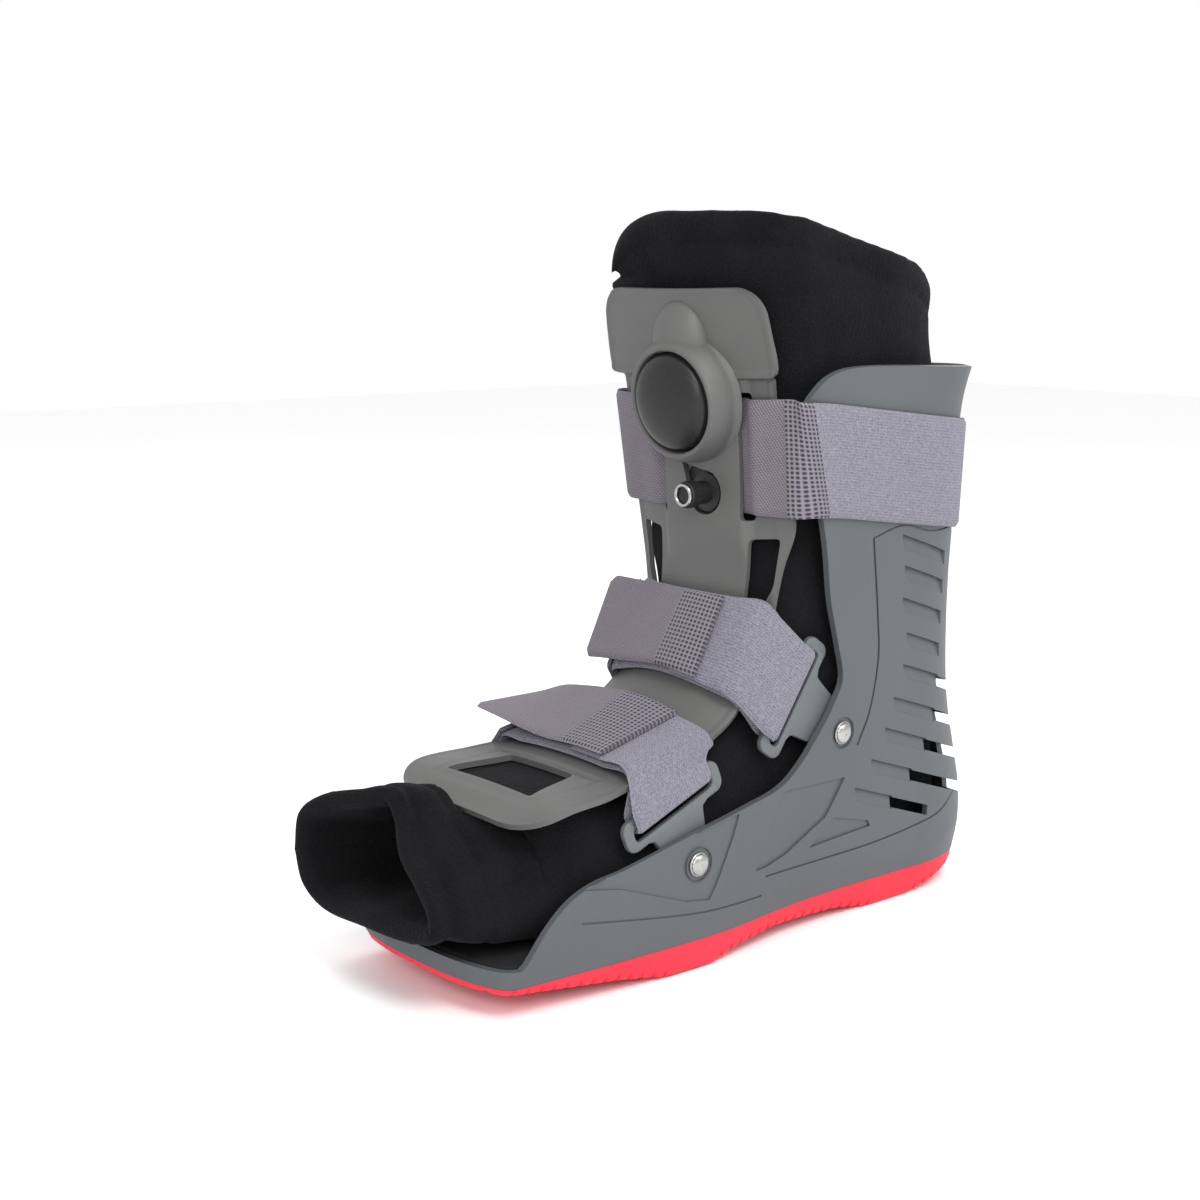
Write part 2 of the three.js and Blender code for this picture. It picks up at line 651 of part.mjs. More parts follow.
function buildPanel() {
  let panel = panelSheet();
  const slotHalf = calfStrapWidth / 2 + strapSlotClearance;
  for (const side of [-1, 1]) {
    const slotX = side > 0 ? spineEdges.left + panelSlotWidth / 2 : spineEdges.right - panelSlotWidth / 2;
    const slot = cornerShape([
      [-panelSlotWidth / 2, -slotHalf],
      [panelSlotWidth / 2, -slotHalf],
      [panelSlotWidth / 2, slotHalf],
      [-panelSlotWidth / 2, slotHalf],
    ]);
    panel = throughPanel(panel, slot, calfStation, slotX);
    const ankleWindow = cornerShape([
      [side * -0.015 * panelWidth, 0.17 * panelWidth],
      [side * 0.14 * panelWidth, 0.19 * panelWidth],
      [side * 0.11 * panelWidth, -0.05 * panelWidth],
      [side * 0.02 * panelWidth, -0.19 * panelWidth],
      [side * -0.03 * panelWidth, -0.17 * panelWidth],
    ]);
    panel = throughPanel(panel, ankleWindow, stationAtHeight(0.505 * linerTop), side * 0.31 * panelWidth);
  }
  const window = cornerShape([
    [-windowFrontWidth / 2, -windowLength / 2],
    [windowFrontWidth / 2, -windowLength / 2],
    [windowBackWidth / 2, windowLength / 2],
    [-windowBackWidth / 2, windowLength / 2],
  ]);
  panel = throughPanel(panel, window, panelFrontStation + 0.62 * windowLength + windowLength / 2, 0);
  const pump = panelFrame(pumpStation, 0);
  const sunk = -panelWall * 0.7;
  const bulge = solidFrom(
    new THREE.SphereGeometry(1, 12, 6),
    new THREE.Matrix4()
      .makeBasis(pump.sideways, pump.rise, pump.out)
      .scale(new THREE.Vector3(bulgeRadius, bulgeRadius * 1.1, bezelDepth * 0.85))
      .setPosition(pump.origin.clone().addScaledVector(pump.rise, bezelRimRadius)),
  );
  const { origin, sideways, rise, out } = pump;
  const wide = circleShape(bezelBaseRadius * 2);
  const behindFace = framedPrism(wide, origin, sideways, rise, out, -bezelBaseRadius * 2, sunk);
  const room = bulbRadius + pieceGap;
  const deep = bezelDepth * 2.7;
  const bulbRoom = turned([[0, 0], [room, 0], [room, deep], [0, deep], [0, 0]], origin, out, 22);
  const bezel = turned(
    [
      [bulbRadius + pieceGap, sunk],
      [bezelBaseRadius, sunk],
      [bezelBaseRadius - 1.2, 0.5 * bezelDepth],
      [bezelRimRadius + 1, 0.95 * bezelDepth],
      [bezelRimRadius, bezelDepth],
      [bulbRadius + pieceGap, bezelDepth],
      [bulbRadius + pieceGap, sunk],
    ],
    pump.origin,
    pump.out,
    22,
  );
  panel = panel.add(bulge.subtract(behindFace).subtract(bulbRoom)).add(bezel);
  const hole = circleShape(valveHoleRadius, 12);
  panel = throughPanel(panel, hole, valveStation, valveOffset);
  const tipShares = [[-1.35, 1.25], [-0.95, -0.1], [0.2, 0.97]];
  const tip = cornerShape(tipShares.map(([x, y]) => [x * valveHoleRadius, y * valveHoleRadius]));
  return throughPanel(panel, tip, valveStation, valveOffset);
}

function buildBulb() {
  const { origin, out } = panelFrame(pumpStation, 0);
  const seat = 3 * pieceGap;
  const profile = [[0, seat], [bulbRadius, seat], [bulbRadius, bezelDepth - 0.5]];
  const steps = 5;
  for (let i = 1; i <= steps; i++) {
    const angle = (Math.PI / 2) * (i / steps);
    const radius = i < steps ? bulbRadius * Math.cos(angle) : 0;
    profile.push([radius, bezelDepth - 0.5 + bulbCrown * Math.sin(angle)]);
  }
  return turned(profile, origin, out, 22);
}

// The valve stands on the calf strap behind the spine and comes out through the panel's hole.
const valveSeat = 3 * pieceGap + strapThickness + 0.5;

function valveFrame() {
  const { rise, out, sideways } = panelFrame(valveStation, valveOffset);
  const origin = overFront(valveStation, valveOffset, valveSeat);
  return { origin, rise, out, sideways };
}

const valveLength = pieceGap + spineRaise + panelWall + valveReach - valveSeat;

function buildValve() {
  const { origin, out } = valveFrame();
  const flange = Math.min(valveHoleRadius - 1, valveRadius * 1.45);
  return turned(
    [
      [0, 0],
      [flange, 0],
      [flange, valveLength - valveReach - 0.8],
      [valveRadius * 0.85, valveLength - valveReach],
      [valveRadius * 0.85, valveLength * 0.62],
      [valveRadius, valveLength * 0.65],
      [valveRadius, valveLength - 0.8],
      [valveRadius * 0.9, valveLength],
      [0, valveLength],
    ],
    origin,
    out,
    12,
  );
}

function buildValveRing() {
  const { origin, out } = valveFrame();
  const [inner, outer] = [valveRadius * 0.62, valveRadius * 0.86];
  const base = valveLength + pieceGap;
  const profile = [[inner, base], [outer, base], [outer, base + 0.5], [outer - 0.4, base + 0.9]];
  profile.push([inner + 0.4, base + 0.9], [inner, base + 0.5], [inner, base]);
  return turned(profile, origin, out, 12);
}

// Loop plates and rivets

function plateOutline(length, grow = 0) {
  const headHalf = footStrapWidth / 2 + 6 + grow;
  const tailHalf = 0.32 * footStrapWidth + grow;
  const top = length + plateBar / 2 + grow;
  const head = length - plateBar / 2 - plateSlotWidth - 3.4 - grow;
  const bottom = -(rivetRecessRadius + 1.5) - grow;
  const corner = 4.5;
  const shape = new THREE.Shape();
  shape.moveTo(-headHalf + corner, top);
  shape.lineTo(headHalf - corner, top);
  shape.absarc(headHalf - corner, top - corner, corner, Math.PI / 2, 0, true);
  shape.lineTo(headHalf, head + corner);
  shape.absarc(headHalf - corner, head + corner, corner, 0, -Math.PI / 2, true);
  shape.lineTo(tailHalf + 2, head);
  shape.lineTo(tailHalf, head - 3);
  shape.lineTo(tailHalf - 5, bottom + 3);
  shape.lineTo(tailHalf - 9, bottom);
  shape.lineTo(9 - tailHalf, bottom);
  shape.lineTo(5 - tailHalf, bottom + 3);
  shape.lineTo(-tailHalf, head - 3);
  shape.lineTo(-tailHalf - 2, head);
  shape.lineTo(corner - headHalf, head);
  shape.absarc(corner - headHalf, head + corner, corner, -Math.PI / 2, Math.PI, true);
  shape.lineTo(-headHalf, top - corner);
  shape.absarc(corner - headHalf, top - corner, corner, Math.PI, Math.PI / 2, true);
  return shape;
}

function buildPlate(plate, side) {
  const { origin, out, rise, along, length } = plateFrame(plate, side);
  const outline = plateOutline(length);
  const face = plateThickness - plateSeat;
  const body = framedPrism(outline, origin, along, rise, out, -plateSeat, face);
  const slotHalf = footStrapWidth / 2 + 1;
  const slotTop = length - plateBar / 2;
  const slotBottom = slotTop - plateSlotWidth;
  const slot = cornerShape([
    [-slotHalf, slotBottom],
    [slotHalf, slotBottom],
    [slotHalf, slotTop],
    [-slotHalf, slotTop],
  ]);
  const hole = circleShape(rivetShaftRadius + pieceGap);
  const sink = circleShape(rivetHeadRadius * 0.8 + pieceGap);
  const cut = (shape, from, to) => framedPrism(shape, origin, along, rise, out, from, to);
  return body
    .subtract(cut(slot, -2 * plateSeat, plateSeat))
    .subtract(cut(hole, -2 * plateSeat, plateSeat))
    .subtract(cut(sink, -2 * plateSeat, -plateSeat + plateThickness * 0.4));
}

function buildRivet(plate, side) {
  const { origin, out } = plateFrame(plate, side);
  const inner = -plateSeat + 0.2;
  const lip = -plateSeat + plateThickness * 0.4 - pieceGap;
  const seat = -rivetRecessDepth + pieceGap;
  const head = rivetHeadRadius * 0.8;
  const profile = [
    [0, inner],
    [head, inner],
    [head, lip],
    [rivetShaftRadius, lip],
    [rivetShaftRadius, seat],
  ];
  profile.push([rivetHeadRadius, seat], [rivetHeadRadius, seat + 0.6]);
  for (let i = 1; i <= 3; i++) {
    const angle = (Math.PI / 2) * (i / 3);
    const radius = i < 3 ? rivetHeadRadius * Math.cos(angle) : 0;
    profile.push([radius, seat + 0.6 + (rivetHeadHeight - 0.6) * Math.sin(angle)]);
  }
  return turned(profile, origin, out, 10);
}

// Straps

// A strap straight across its width, along the curves that controls(v) gives for its two edges.
function strapSheet(controls, columns) {
  const [low, high] = [0, 1].map((v) => new THREE.CatmullRomCurve3(controls(v), false, "centripetal"));
  const place = (u, v) => low.getPoint(u).lerp(high.getPoint(u), v);
  return sheet(columns, 1, place, strapThickness / 2, strapThickness / 2);
}

const layerLift = pieceGap + strapThickness / 2; // a face to the middle of a strap lying on it
const foldLift = strapThickness + 3 * pieceGap; // middle of a layer to the middle of the next

// Points round a bar or edge, as [along, out] pairs from the outer side round the tip to the inner
// one: halfBar reaches towards the strap's turn and halfWall to each side.
function wrapPoints(halfBar, halfWall) {
  const [far, side] = [halfBar + layerLift + 0.3, halfWall + layerLift + 0.3];
  const corner = [far - 0.55, side - 0.55];
  const outer = [[-0.5, side], corner];
  return [...outer, [far + 0.1, 0], [corner[0], -corner[1]], [-0.5, -side]];
}

// The strap's way round the bar of a loop plate at level v of its width, from outside to inside.
function barPoints(plate, side, v) {
  const { origin, out, rise, along, length } = plateFrame(plate, side);
  const shift = side * (v - 0.5) * footStrapWidth;
  const middle = plateThickness / 2 - plateSeat;
  const at = (a, b) =>
    origin
      .clone()
      .addScaledVector(along, shift)
      .addScaledVector(rise, length - a)
      .addScaledVector(out, middle + b);
  const wrap = wrapPoints(plateBar / 2, plateThickness / 2);
  const lead = plateBar / 2 + 3;
  const innerLead = plateBar / 2 + 0.7;
  return [at(-lead, wrap[0][1]), ...wrap.map(([a, b]) => at(a, b)), at(-innerLead, -wrap[0][1])];
}

// The stations that a foot strap's two edges follow over the panel.
function footStrap(name) {
  const plate = loopPlates.find((row) => row.name === name);
  const height = { ankle: 0.412, forefoot: 0.292 }[name] * linerTop;
  const middle = stationAtHeight(height);
  return { plate, station: (v) => middle + (v - 0.5) * footStrapWidth };
}

// Control rows of the foot straps' lower layer over the panel: shares of footWidth / 2
const lowerRows = {
  ankle: [0.78, 0.5, 0.15, -0.15, -0.5, -0.78],
  forefoot: [0.91, 0.6, 0.2, -0.2, -0.6, -0.91],
};
// Where the upper layer's cut ends lie: left is under the tab, right is the sewn end
const upperRows = {
  ankle: { left: [0.15, 0.45, 0.8], right: [-0.8] },
  forefoot: { left: [0.15, 0.5, 0.88], right: [-0.88] },
};

const overPanel = pieceGap + panelWall + layerLift + 0.45; // liner's face to a strap on the panel

function footStrapControls(name, v) {
  const { plate, station } = footStrap(name);
  const over = (share, lift = 0) => overFront(station(v), (share * footWidth) / 2, overPanel + lift);
  const { left, right } = upperRows[name];
  return [
    ...left.map((share) => over(share, foldLift + Math.max(share - 0.5, 0) * 5)),
    ...barPoints(plate, 1, v),
    ...lowerRows[name].map((share) => over(share, Math.max(Math.abs(share) - 0.5, 0) * 5)),
    ...barPoints(plate, -1, v).reverse(),
    ...right.map((share) => over(share, foldLift + Math.max(-share - 0.5, 0) * 5)),
  ];
}

// The hook tabs sewn over the straps' upper layers, each free end lifted off the boot: across is
// a share of footWidth / 2, lift counts strap layers above the upper layer.
const tabRows = {
  ankle: [
    { across: 0.4, lift: 1.1 },
    { across: 0.2, lift: 1.1 },
    { across: 0.05, lift: 0.9 },
    { across: -0.15, lift: 0.4 },
    { across: -0.4, lift: 0.9 },
    { across: -0.62, lift: 2.6 },
    { across: -0.78, lift: 4.4 },
  ],
  forefoot: [
    { across: 0.5, lift: 1.1 },
    { across: 0.3, lift: 1.1 },
    { across: 0.1, lift: 0.9 },
    { across: -0.15, lift: 0.6 },
    { across: -0.45, lift: 1.4 },
    { across: -0.7, lift: 2.8 },
    { across: -1.02, lift: 4.8 },
  ],
};

function tabControls(name, v) {
  const { station } = footStrap(name);
  const step = strapThickness + pieceGap;
  return tabRows[name].map((row) =>
    overFront(station(v), (row.across * footWidth) / 2, overPanel + foldLift + row.lift * step),
  );
}

// A point on the calf part of the shell: reach y on one side, offset outwards from its outer face.
function besideShell(y, z, offset, side) {
  const heelDepth = 0.36 * heelReach;
  const heelStart = shellRear(z) - heelDepth;
  if (y <= heelStart) return new THREE.Vector3(side * (shellHalfWidth(y, z) + offset), y, z);
  const sine = Math.min((y - heelStart) / heelDepth, 0.999) ** (2.15 / 2);
  const angle = Math.asin(sine);
  const radius = shellHalfWidth(heelStart, z) + offset;
  return new THREE.Vector3(
    side * radius * Math.cos(angle) ** (2 / 2.15),
    heelStart + (heelDepth + offset) * sine ** (2 / 2.15),
    z,
  );
}

// Reaches along the calf between the wall's front edge and the slot, shares of the way
const calfWrap = [0.12, 0.3, 0.5, 0.7, 0.86];

// One side of the calf strap: from the spine's slot outside the wall to the rear slot, round the
// slot's edge and back along the wall's inside.
function calfStrapControls(side, v) {
  const shift = (v - 0.5) * calfStrapWidth;
  const frontReach = shellWallFront(calfStrapHeight.front + shift);
  const level = (y) => {
    const share = THREE.MathUtils.clamp((y - frontReach) / (calfSlotReach - frontReach), 0, 1);
    return THREE.MathUtils.lerp(calfStrapHeight.front, calfStrapHeight.rear, share) + shift;
  };
  const beside = (y, offset) => besideShell(y, level(y), offset, side);
  const over = (x, lift) => overFront(calfStation + shift, side * x, lift);
  const spine = side > 0 ? spineEdges.left : -spineEdges.right;
  const outside = layerLift + 0.35;
  const inside = -shellWall - layerLift - 0.5;
  const reaches = calfWrap.map((share) => THREE.MathUtils.lerp(frontReach, calfSlotReach, share));
  const round = wrapPoints(3.6, shellWall / 2).slice(1, -1);
  return {
    behindSpine: over(spine * 0.6, pieceGap + layerLift),
    throughSlot: [
      over(spine - 1, layerLift),
      over(spine + panelSlotWidth * 0.6, pieceGap + layerLift + 0.8),
      over(spine + panelSlotWidth + 1.5, overPanel + 0.4),
      over((spine + panelWidth / 2) / 2 + 3, overPanel + 0.3),
      over(panelWidth / 2 + panelLean + 1.5, overPanel + 0.6),
    ],
    outer: [beside(frontReach - 6, outside + 0.5), ...reaches.map((y) => beside(y, outside))],
    turn: [
      beside(calfSlotReach - 1, outside),
      ...round.map(([a, b]) => beside(calfSlotReach + a, b - shellWall / 2)),
      beside(calfSlotReach - 1, inside),
    ],
    inner: [...reaches].reverse().slice(0, -1).map((y) => beside(y, inside)),
  };
}

// Reach of the wall's free front edge at height z on the calf part.
function shellWallFront(z) {
  const edgePoint = (row) => ({ height: row.height * shellTop, reach: -row.forward * toeReach });
  const rows = wallEdge.slice(12, 16).map(edgePoint);
  return smooth(rows, "height", "reach", z);
}

function buildCalfStrap() {
  return strapSheet(
    (v) => {
      const way = (side) => {
        const { behindSpine, throughSlot, outer, turn, inner } = calfStrapControls(side, v);
        return [behindSpine, ...throughSlot, ...outer, ...turn, ...inner];
      };
      return [...way(-1).reverse(), ...way(1)];
    },
    76,
  );
}

// Liner

// One closed section of the liner's foot at a share of toeReach forward, inset from its outer face.
function linerFootRing(forward, inset) {
  const column = (name) => smooth(linerFoot, "forward", name, forward);
  const bottom = footbedTop + pieceGap + column("rise") * linerTop + inset;
  const line = smooth(frontLine.slice(0, instepRows), "forward", "height", forward);
  const top = (line + column("puff")) * linerTop - inset;
  const left = column("left") * (footWidth / 2) - inset;
  const right = column("right") * (footWidth / 2) - inset;
  const middle = bottom + (top - bottom) * 0.42;
  const points = [];
  const steps = 18;
  for (let i = 0; i < steps; i++) {
    const angle = (2 * Math.PI * (i + 0.5)) / steps;
    const [c, s] = [Math.cos(angle), Math.sin(angle)];
    const bend = s > 0 ? 2 / 2.5 : 2 / 4.5;
    const x = (c > 0 ? right : left) * Math.sign(c) * Math.abs(c) ** bend;
    const z = middle + (s > 0 ? top - middle : middle - bottom) * Math.sign(s) * Math.abs(s) ** bend;
    points.push(new THREE.Vector3(x, -forward * toeReach + column("slant") * (x + left), z));
  }
  return points;
}

// One closed section of the liner's shaft at height z, inset from its outer face.
function linerShaftRing(z, inset) {
  const clear = shellWall + linerClearance + inset;
  const above = fade(shellTop * 0.92, linerTop * 0.9, z);
  const rear = shellRear(Math.min(z, shellTop * 0.9)) - clear - above * 0.11 * heelReach;
  const wall = shellHalfWidth(0.3 * heelReach, Math.min(z, shellTop * 0.9));
  const side = wall - clear + above * 0.08 * footWidth;
  const low = stationAtHeight(Math.max(z, 0.43 * linerTop));
  const brim = fade(panelTop + 2, linerTop * 0.95, z);
  const front = overFront(low, 0, -2.4).y - brim * 0.03 * toeReach + inset;
  const middle = 0.3 * heelReach;
  const points = [];
  const steps = 22;
  for (let i = 0; i < steps; i++) {
    const angle = (2 * Math.PI * (i + 0.5)) / steps;
    const [c, s] = [Math.cos(angle), Math.sin(angle)];
    const bend = s > 0 ? 2 / 2.2 : 2 / 4.4;
    const x = side * Math.sign(c) * Math.abs(c) ** bend;
    const y = middle + (s > 0 ? rear - middle : middle - front) * Math.sign(s) * Math.abs(s) ** bend;
    const twist = s < 0 ? panelTwist * fade(0.48 * linerTop, 0.7 * linerTop, z) * Math.abs(s) : 0;
    points.push(new THREE.Vector3(x, y + twist * x, z));
  }
  return points;
}

function linerForm(inset, bottomInset, overrun) {
  const floor = footbedTop + pieceGap + bottomInset;
  const shares = [0.2, 0.34, 0.43, 0.49, 0.56, 0.65, 0.75, 0.84, 0.91, 0.96];
  const heights = [floor, ...shares.map((s) => s * linerTop)];
  const shaft = loft([...heights, linerTop + 2 + overrun].map((z) => linerShaftRing(z, inset)));
  const front = 1.1 + overrun / toeReach;
  const stations = [front, 1.05, 1.0, 0.94, 0.87, 0.77, 0.64, 0.45, 0.3, 0.17, 0.04, -0.1];
  const foot = loft(stations.map((forward) => linerFootRing(forward, inset)));
  return shaft.add(foot);
}

// The flap that wraps over the toes from the wearer's left. Its edge runs slanting across the
// toe: up over the foot at the back of the flap, down at the sole at its front.
function toeFlap() {
  const start = 0.93; // share of the ring near the footbed on the wearer's left
  const place = (u, v) => {
    const ring = new THREE.CatmullRomCurve3(linerFootRing(THREE.MathUtils.lerp(0.8, 1.0, u), 1), true);
    const length = THREE.MathUtils.lerp(0.46, 0.14, u ** 1.4);
    return ring.getPoint((start + v * length) % 1);
  };
  return sheet(5, 8, place, 1.2, 3.2);
}

function buildLiner() {
  let liner = linerForm(0, 0, 0).subtract(linerForm(linerWall, linerWall, 6));
  const edge = linerEdge.map((row) => [-row.forward * toeReach, row.height * linerTop]);
  const [ahead, behind] = [-toeReach * 1.3, heelReach * 1.2];
  const below = [[ahead, 0], [ahead, linerTop], ...edge, [behind, edge.at(-1)[1]], [behind, 0]];
  liner = liner.intersect(sidePrism(below, -footWidth, footWidth));
  liner = liner.add(toeFlap());
  return liner;
}

// Assembly

const finishes = {
  shell: { color: 0x6e7378, roughness: 0.5, metalness: 0 },
  panel: { color: 0x77787a, roughness: 0.5, metalness: 0 },
  sole: { color: 0xe8182f, roughness: 0.6, metalness: 0 },
  foam: { color: 0x0b0b0c, roughness: 0.95, metalness: 0 },
  strap: { color: 0x86828f, roughness: 0.9, metalness: 0 },
  tab: { color: 0x7c7784, roughness: 0.9, metalness: 0 },
  bulb: { color: 0x1c1c1e, roughness: 0.45, metalness: 0 },
  steel: { color: 0xc8c8c4, roughness: 0.2, metalness: 1 },
};

const boot = new THREE.Group();

function add(name, solid, finish) {
  const mesh = solid.getMesh();
  const geometry = new THREE.BufferGeometry();
  geometry.setAttribute("position", new THREE.BufferAttribute(mesh.vertProperties, 3));
  geometry.setIndex(new THREE.BufferAttribute(mesh.triVerts, 1));
  geometry.computeVertexNormals();
  const made = new THREE.Mesh(geometry, new THREE.MeshStandardMaterial(finishes[finish]));
  made.name = name;
  boot.add(made);
}

add("shell", buildShell(), "shell");
add("outsole", buildOutsole(), "sole");
add("footbed", buildFootbed(), "foam");
add("liner", buildLiner(), "foam");
add("front_panel", buildPanel(), "panel");
add("pump_bulb", buildBulb(), "bulb");
add("valve_body", buildValve(), "bulb");
add("valve_ring", buildValveRing(), "steel");
for (const plate of loopPlates)
  for (const [word, side] of [["left", 1], ["right", -1]]) {
    add(`${plate.name}_loop_${word}`, buildPlate(plate, side), "shell");
    add(`${plate.name}_rivet_${word}`, buildRivet(plate, side), "steel");
  }
for (const { name } of loopPlates) {
  add(`${name}_strap`, strapSheet((v) => footStrapControls(name, v), 59), "strap");
  add(`${name}_tab`, strapSheet((v) => tabControls(name, v), 10), "tab");
}
add("calf_strap", buildCalfStrap(), "strap");

// The origin is the middle of the boot's box, on the ground.
const box = new THREE.Box3().setFromObject(boot);
boot.position.set(-(box.min.x + box.max.x) / 2, -(box.min.y + box.max.y) / 2, -box.min.z);

export default boot;
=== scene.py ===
# Looks of a short pneumatic walking boot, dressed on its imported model.
# Lengths are millimetres in the boot's own frame (toe -Y, heel +Y, wearer's left +X, ground z 0)
# until a piece is put into its mesh, where they become metres in the row's frame.
import math
import bmesh
import bpy
import numpy as np
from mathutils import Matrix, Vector


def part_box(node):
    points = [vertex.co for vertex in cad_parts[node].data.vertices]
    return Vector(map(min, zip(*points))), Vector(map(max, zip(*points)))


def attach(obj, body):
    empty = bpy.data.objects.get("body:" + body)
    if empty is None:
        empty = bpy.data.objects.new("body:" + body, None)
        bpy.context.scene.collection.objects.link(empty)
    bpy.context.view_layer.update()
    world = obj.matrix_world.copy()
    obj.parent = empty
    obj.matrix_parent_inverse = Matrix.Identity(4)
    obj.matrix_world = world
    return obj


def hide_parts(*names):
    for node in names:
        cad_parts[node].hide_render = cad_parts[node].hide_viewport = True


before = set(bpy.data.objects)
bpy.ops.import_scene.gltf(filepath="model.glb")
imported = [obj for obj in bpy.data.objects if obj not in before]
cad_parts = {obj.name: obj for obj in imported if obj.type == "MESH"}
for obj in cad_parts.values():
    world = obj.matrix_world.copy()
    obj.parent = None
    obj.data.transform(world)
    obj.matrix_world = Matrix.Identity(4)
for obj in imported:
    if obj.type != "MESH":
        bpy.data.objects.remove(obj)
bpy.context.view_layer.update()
print("frame loaded:", len(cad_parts), "nodes")

boot = {
    "shellTop": 240.0, "toeReach": 165.0, "trayReach": 161.0, "heelReach": 136.0, "footWidth": 108.0,
    "linerTop": 305.0, "shellWall": 3.0, "floorThickness": 4.0, "soleThickness": 13.0,
    "footbedThickness": 3.4, "pieceGap": 0.35, "soleInset": 0.6,
    # the plan's rounded ends: shares of heelReach and toeReach, and the powers of their superellipses
    "heelDepth": 0.36, "toeDepth": 0.085, "heelPower": 2.15, "toePower": 2.3,
}
halfFoot = boot["footWidth"] / 2

soleLow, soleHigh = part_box("outsole")
shift = np.array([
    (soleLow.x + soleHigh.x) * 500.0,
    soleLow.y * 1000.0 + boot["trayReach"] - boot["soleInset"],
    0.0,
])


def rowPoints(points):
    # The boot's millimetres to the row's metres.
    return (np.asarray(points, float) + shift) * 0.001


# Tables


def table(names, rows):
    # Rows of numbers as named columns.
    columns = np.array(rows, float).T
    return dict(zip(names.split(), columns))


def hermite(x, values, at):
    # A cubic through the rows at x, each slope taken from the row's two neighbours.
    # values is one number for each row, or one array for each row, shaped as at.
    order = np.argsort(x)
    x = np.asarray(x, float)[order]
    values = np.asarray(values, float)[order]
    n = len(x)
    low = np.maximum(np.arange(n) - 1, 0)
    high = np.minimum(np.arange(n) + 1, n - 1)
    run = (x[high] - x[low]).reshape([n] + [1] * (values.ndim - 1))
    slope = (values[high] - values[low]) / run
    at = np.clip(np.asarray(at, float), x[0], x[-1])
    i = np.clip(np.searchsorted(x, at, side="right") - 1, 0, n - 2)
    span = x[i + 1] - x[i]
    t = (at - x[i]) / span
    if values.ndim == 1:
        a, b, sa, sb = values[i], values[i + 1], slope[i], slope[i + 1]
    else:
        pick = lambda source, k: np.take_along_axis(source, k[None], axis=0)[0]
        a, b, sa, sb = pick(values, i), pick(values, i + 1), pick(slope, i), pick(slope, i + 1)
    first = (1 + 2 * t) * (1 - t) ** 2 * a + t * (1 - t) ** 2 * span * sa
    return first + t * t * (3 - 2 * t) * b + t * t * (t - 1) * span * sb


def smooth(rows, key, column, at):
    # One column of a table, read smoothly at a value of its key column.
    return hermite(rows[key], rows[column], at)


def fade(start, end, at):
    # 0 before start and 1 after end, with a soft cubic step between them.
    t = np.clip((np.asarray(at, float) - start) / (end - start), 0, 1)
    return t * t * (3 - 2 * t)


shellSections = table("height rear ball waist arch heel", [
    (0.05, 0.985, 0.98, 0.93, 0.74, 0.64), (0.11, 1.0, 1.0, 0.96, 0.78, 0.68),
    (0.18, 0.99, 1.0, 0.97, 0.82, 0.71), (0.26, 0.95, 1.0, 0.97, 0.85, 0.74),
    (0.36, 0.9, 1.0, 0.97, 0.86, 0.77), (0.46, 0.88, 1.0, 0.97, 0.87, 0.79),
    (0.6, 0.872, 1.0, 0.97, 0.9, 0.82), (0.74, 0.878, 1.0, 0.99, 0.94, 0.86),
    (0.86, 0.876, 1.0, 1.0, 0.97, 0.9), (0.94, 0.888, 1.0, 1.0, 0.99, 0.93),
    (1.02, 0.93, 1.03, 1.04, 1.03, 0.98),
])
shellStations = {"ball": 0.62, "waist": 0.27, "arch": -0.08, "heel": -0.5}

# The wall's free edge: shares of toeReach and shellTop, with the reach of the wall's foot below it
wallEdge = table("forward height base", [
    (0.885, 0.083, 0.885), (0.82, 0.139, 0.8), (0.752, 0.178, 0.72), (0.68, 0.198, 0.65),
    (0.59, 0.208, 0.56), (0.35, 0.245, 0.33), (0.19, 0.266, 0.17), (0.064, 0.284, 0.04),
    (-0.015, 0.318, -0.07), (-0.096, 0.376, -0.17), (-0.14, 0.418, -0.27), (-0.163, 0.455, -0.36),
    (-0.14, 0.515, -0.45), (-0.1, 0.6, -0.51), (-0.07, 0.7, -0.55), (0.028, 0.934, -0.6),
    (0.006, 0.96, -0.615), (-0.04, 0.986, -0.63), (-0.11, 1.0, -0.65), (-0.25, 1.002, -0.68),
])

# The front line over instep and shin: shares of toeReach and linerTop, radius across by footWidth
frontLine = table("forward height radius", [
    (1.0, 0.205, 4), (0.85, 0.229, 5), (0.755, 0.252, 6), (0.6, 0.26, 5), (0.51, 0.27, 2.5),
    (0.4, 0.295, 1), (0.27, 0.333, 0.65), (0.17, 0.38, 0.62), (0.1, 0.4375, 0.75), (0.078, 0.49, 1),
    (0.066, 0.56, 1.4), (0.07, 0.65, 1.7), (0.09, 0.75, 1.8), (0.122, 0.84, 1.8), (0.14, 0.9, 1.8),
    (0.165, 1.0, 1.8),
])


# Meshes


def meshPiece(name, points, faces, node=None, slotName=None, uv=None, smoothFaces=True):
    # Puts points (boot frame, mm) and faces into a new object at the origin.
    mesh = bpy.data.meshes.new(name)
    mesh.from_pydata(rowPoints(points).tolist(), [], faces)
    if uv is not None:
        layer = mesh.uv_layers.new(name="surface")
        corners = np.zeros(len(mesh.loops), np.int32)
        mesh.loops.foreach_get("vertex_index", corners)
        layer.data.foreach_set("uv", (np.asarray(uv, float)[corners]).astype(np.float32).ravel())
    mesh.polygons.foreach_set("use_smooth", [smoothFaces] * len(mesh.polygons))
    mesh.update()
    piece = bpy.data.objects.new(name, mesh)
    bpy.context.scene.collection.objects.link(piece)
    if node is not None:
        dress(piece, node)
    return piece


def dress(piece, nodes):
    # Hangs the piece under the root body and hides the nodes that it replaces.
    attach(piece, "root")
    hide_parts(*([nodes] if isinstance(nodes, str) else nodes))


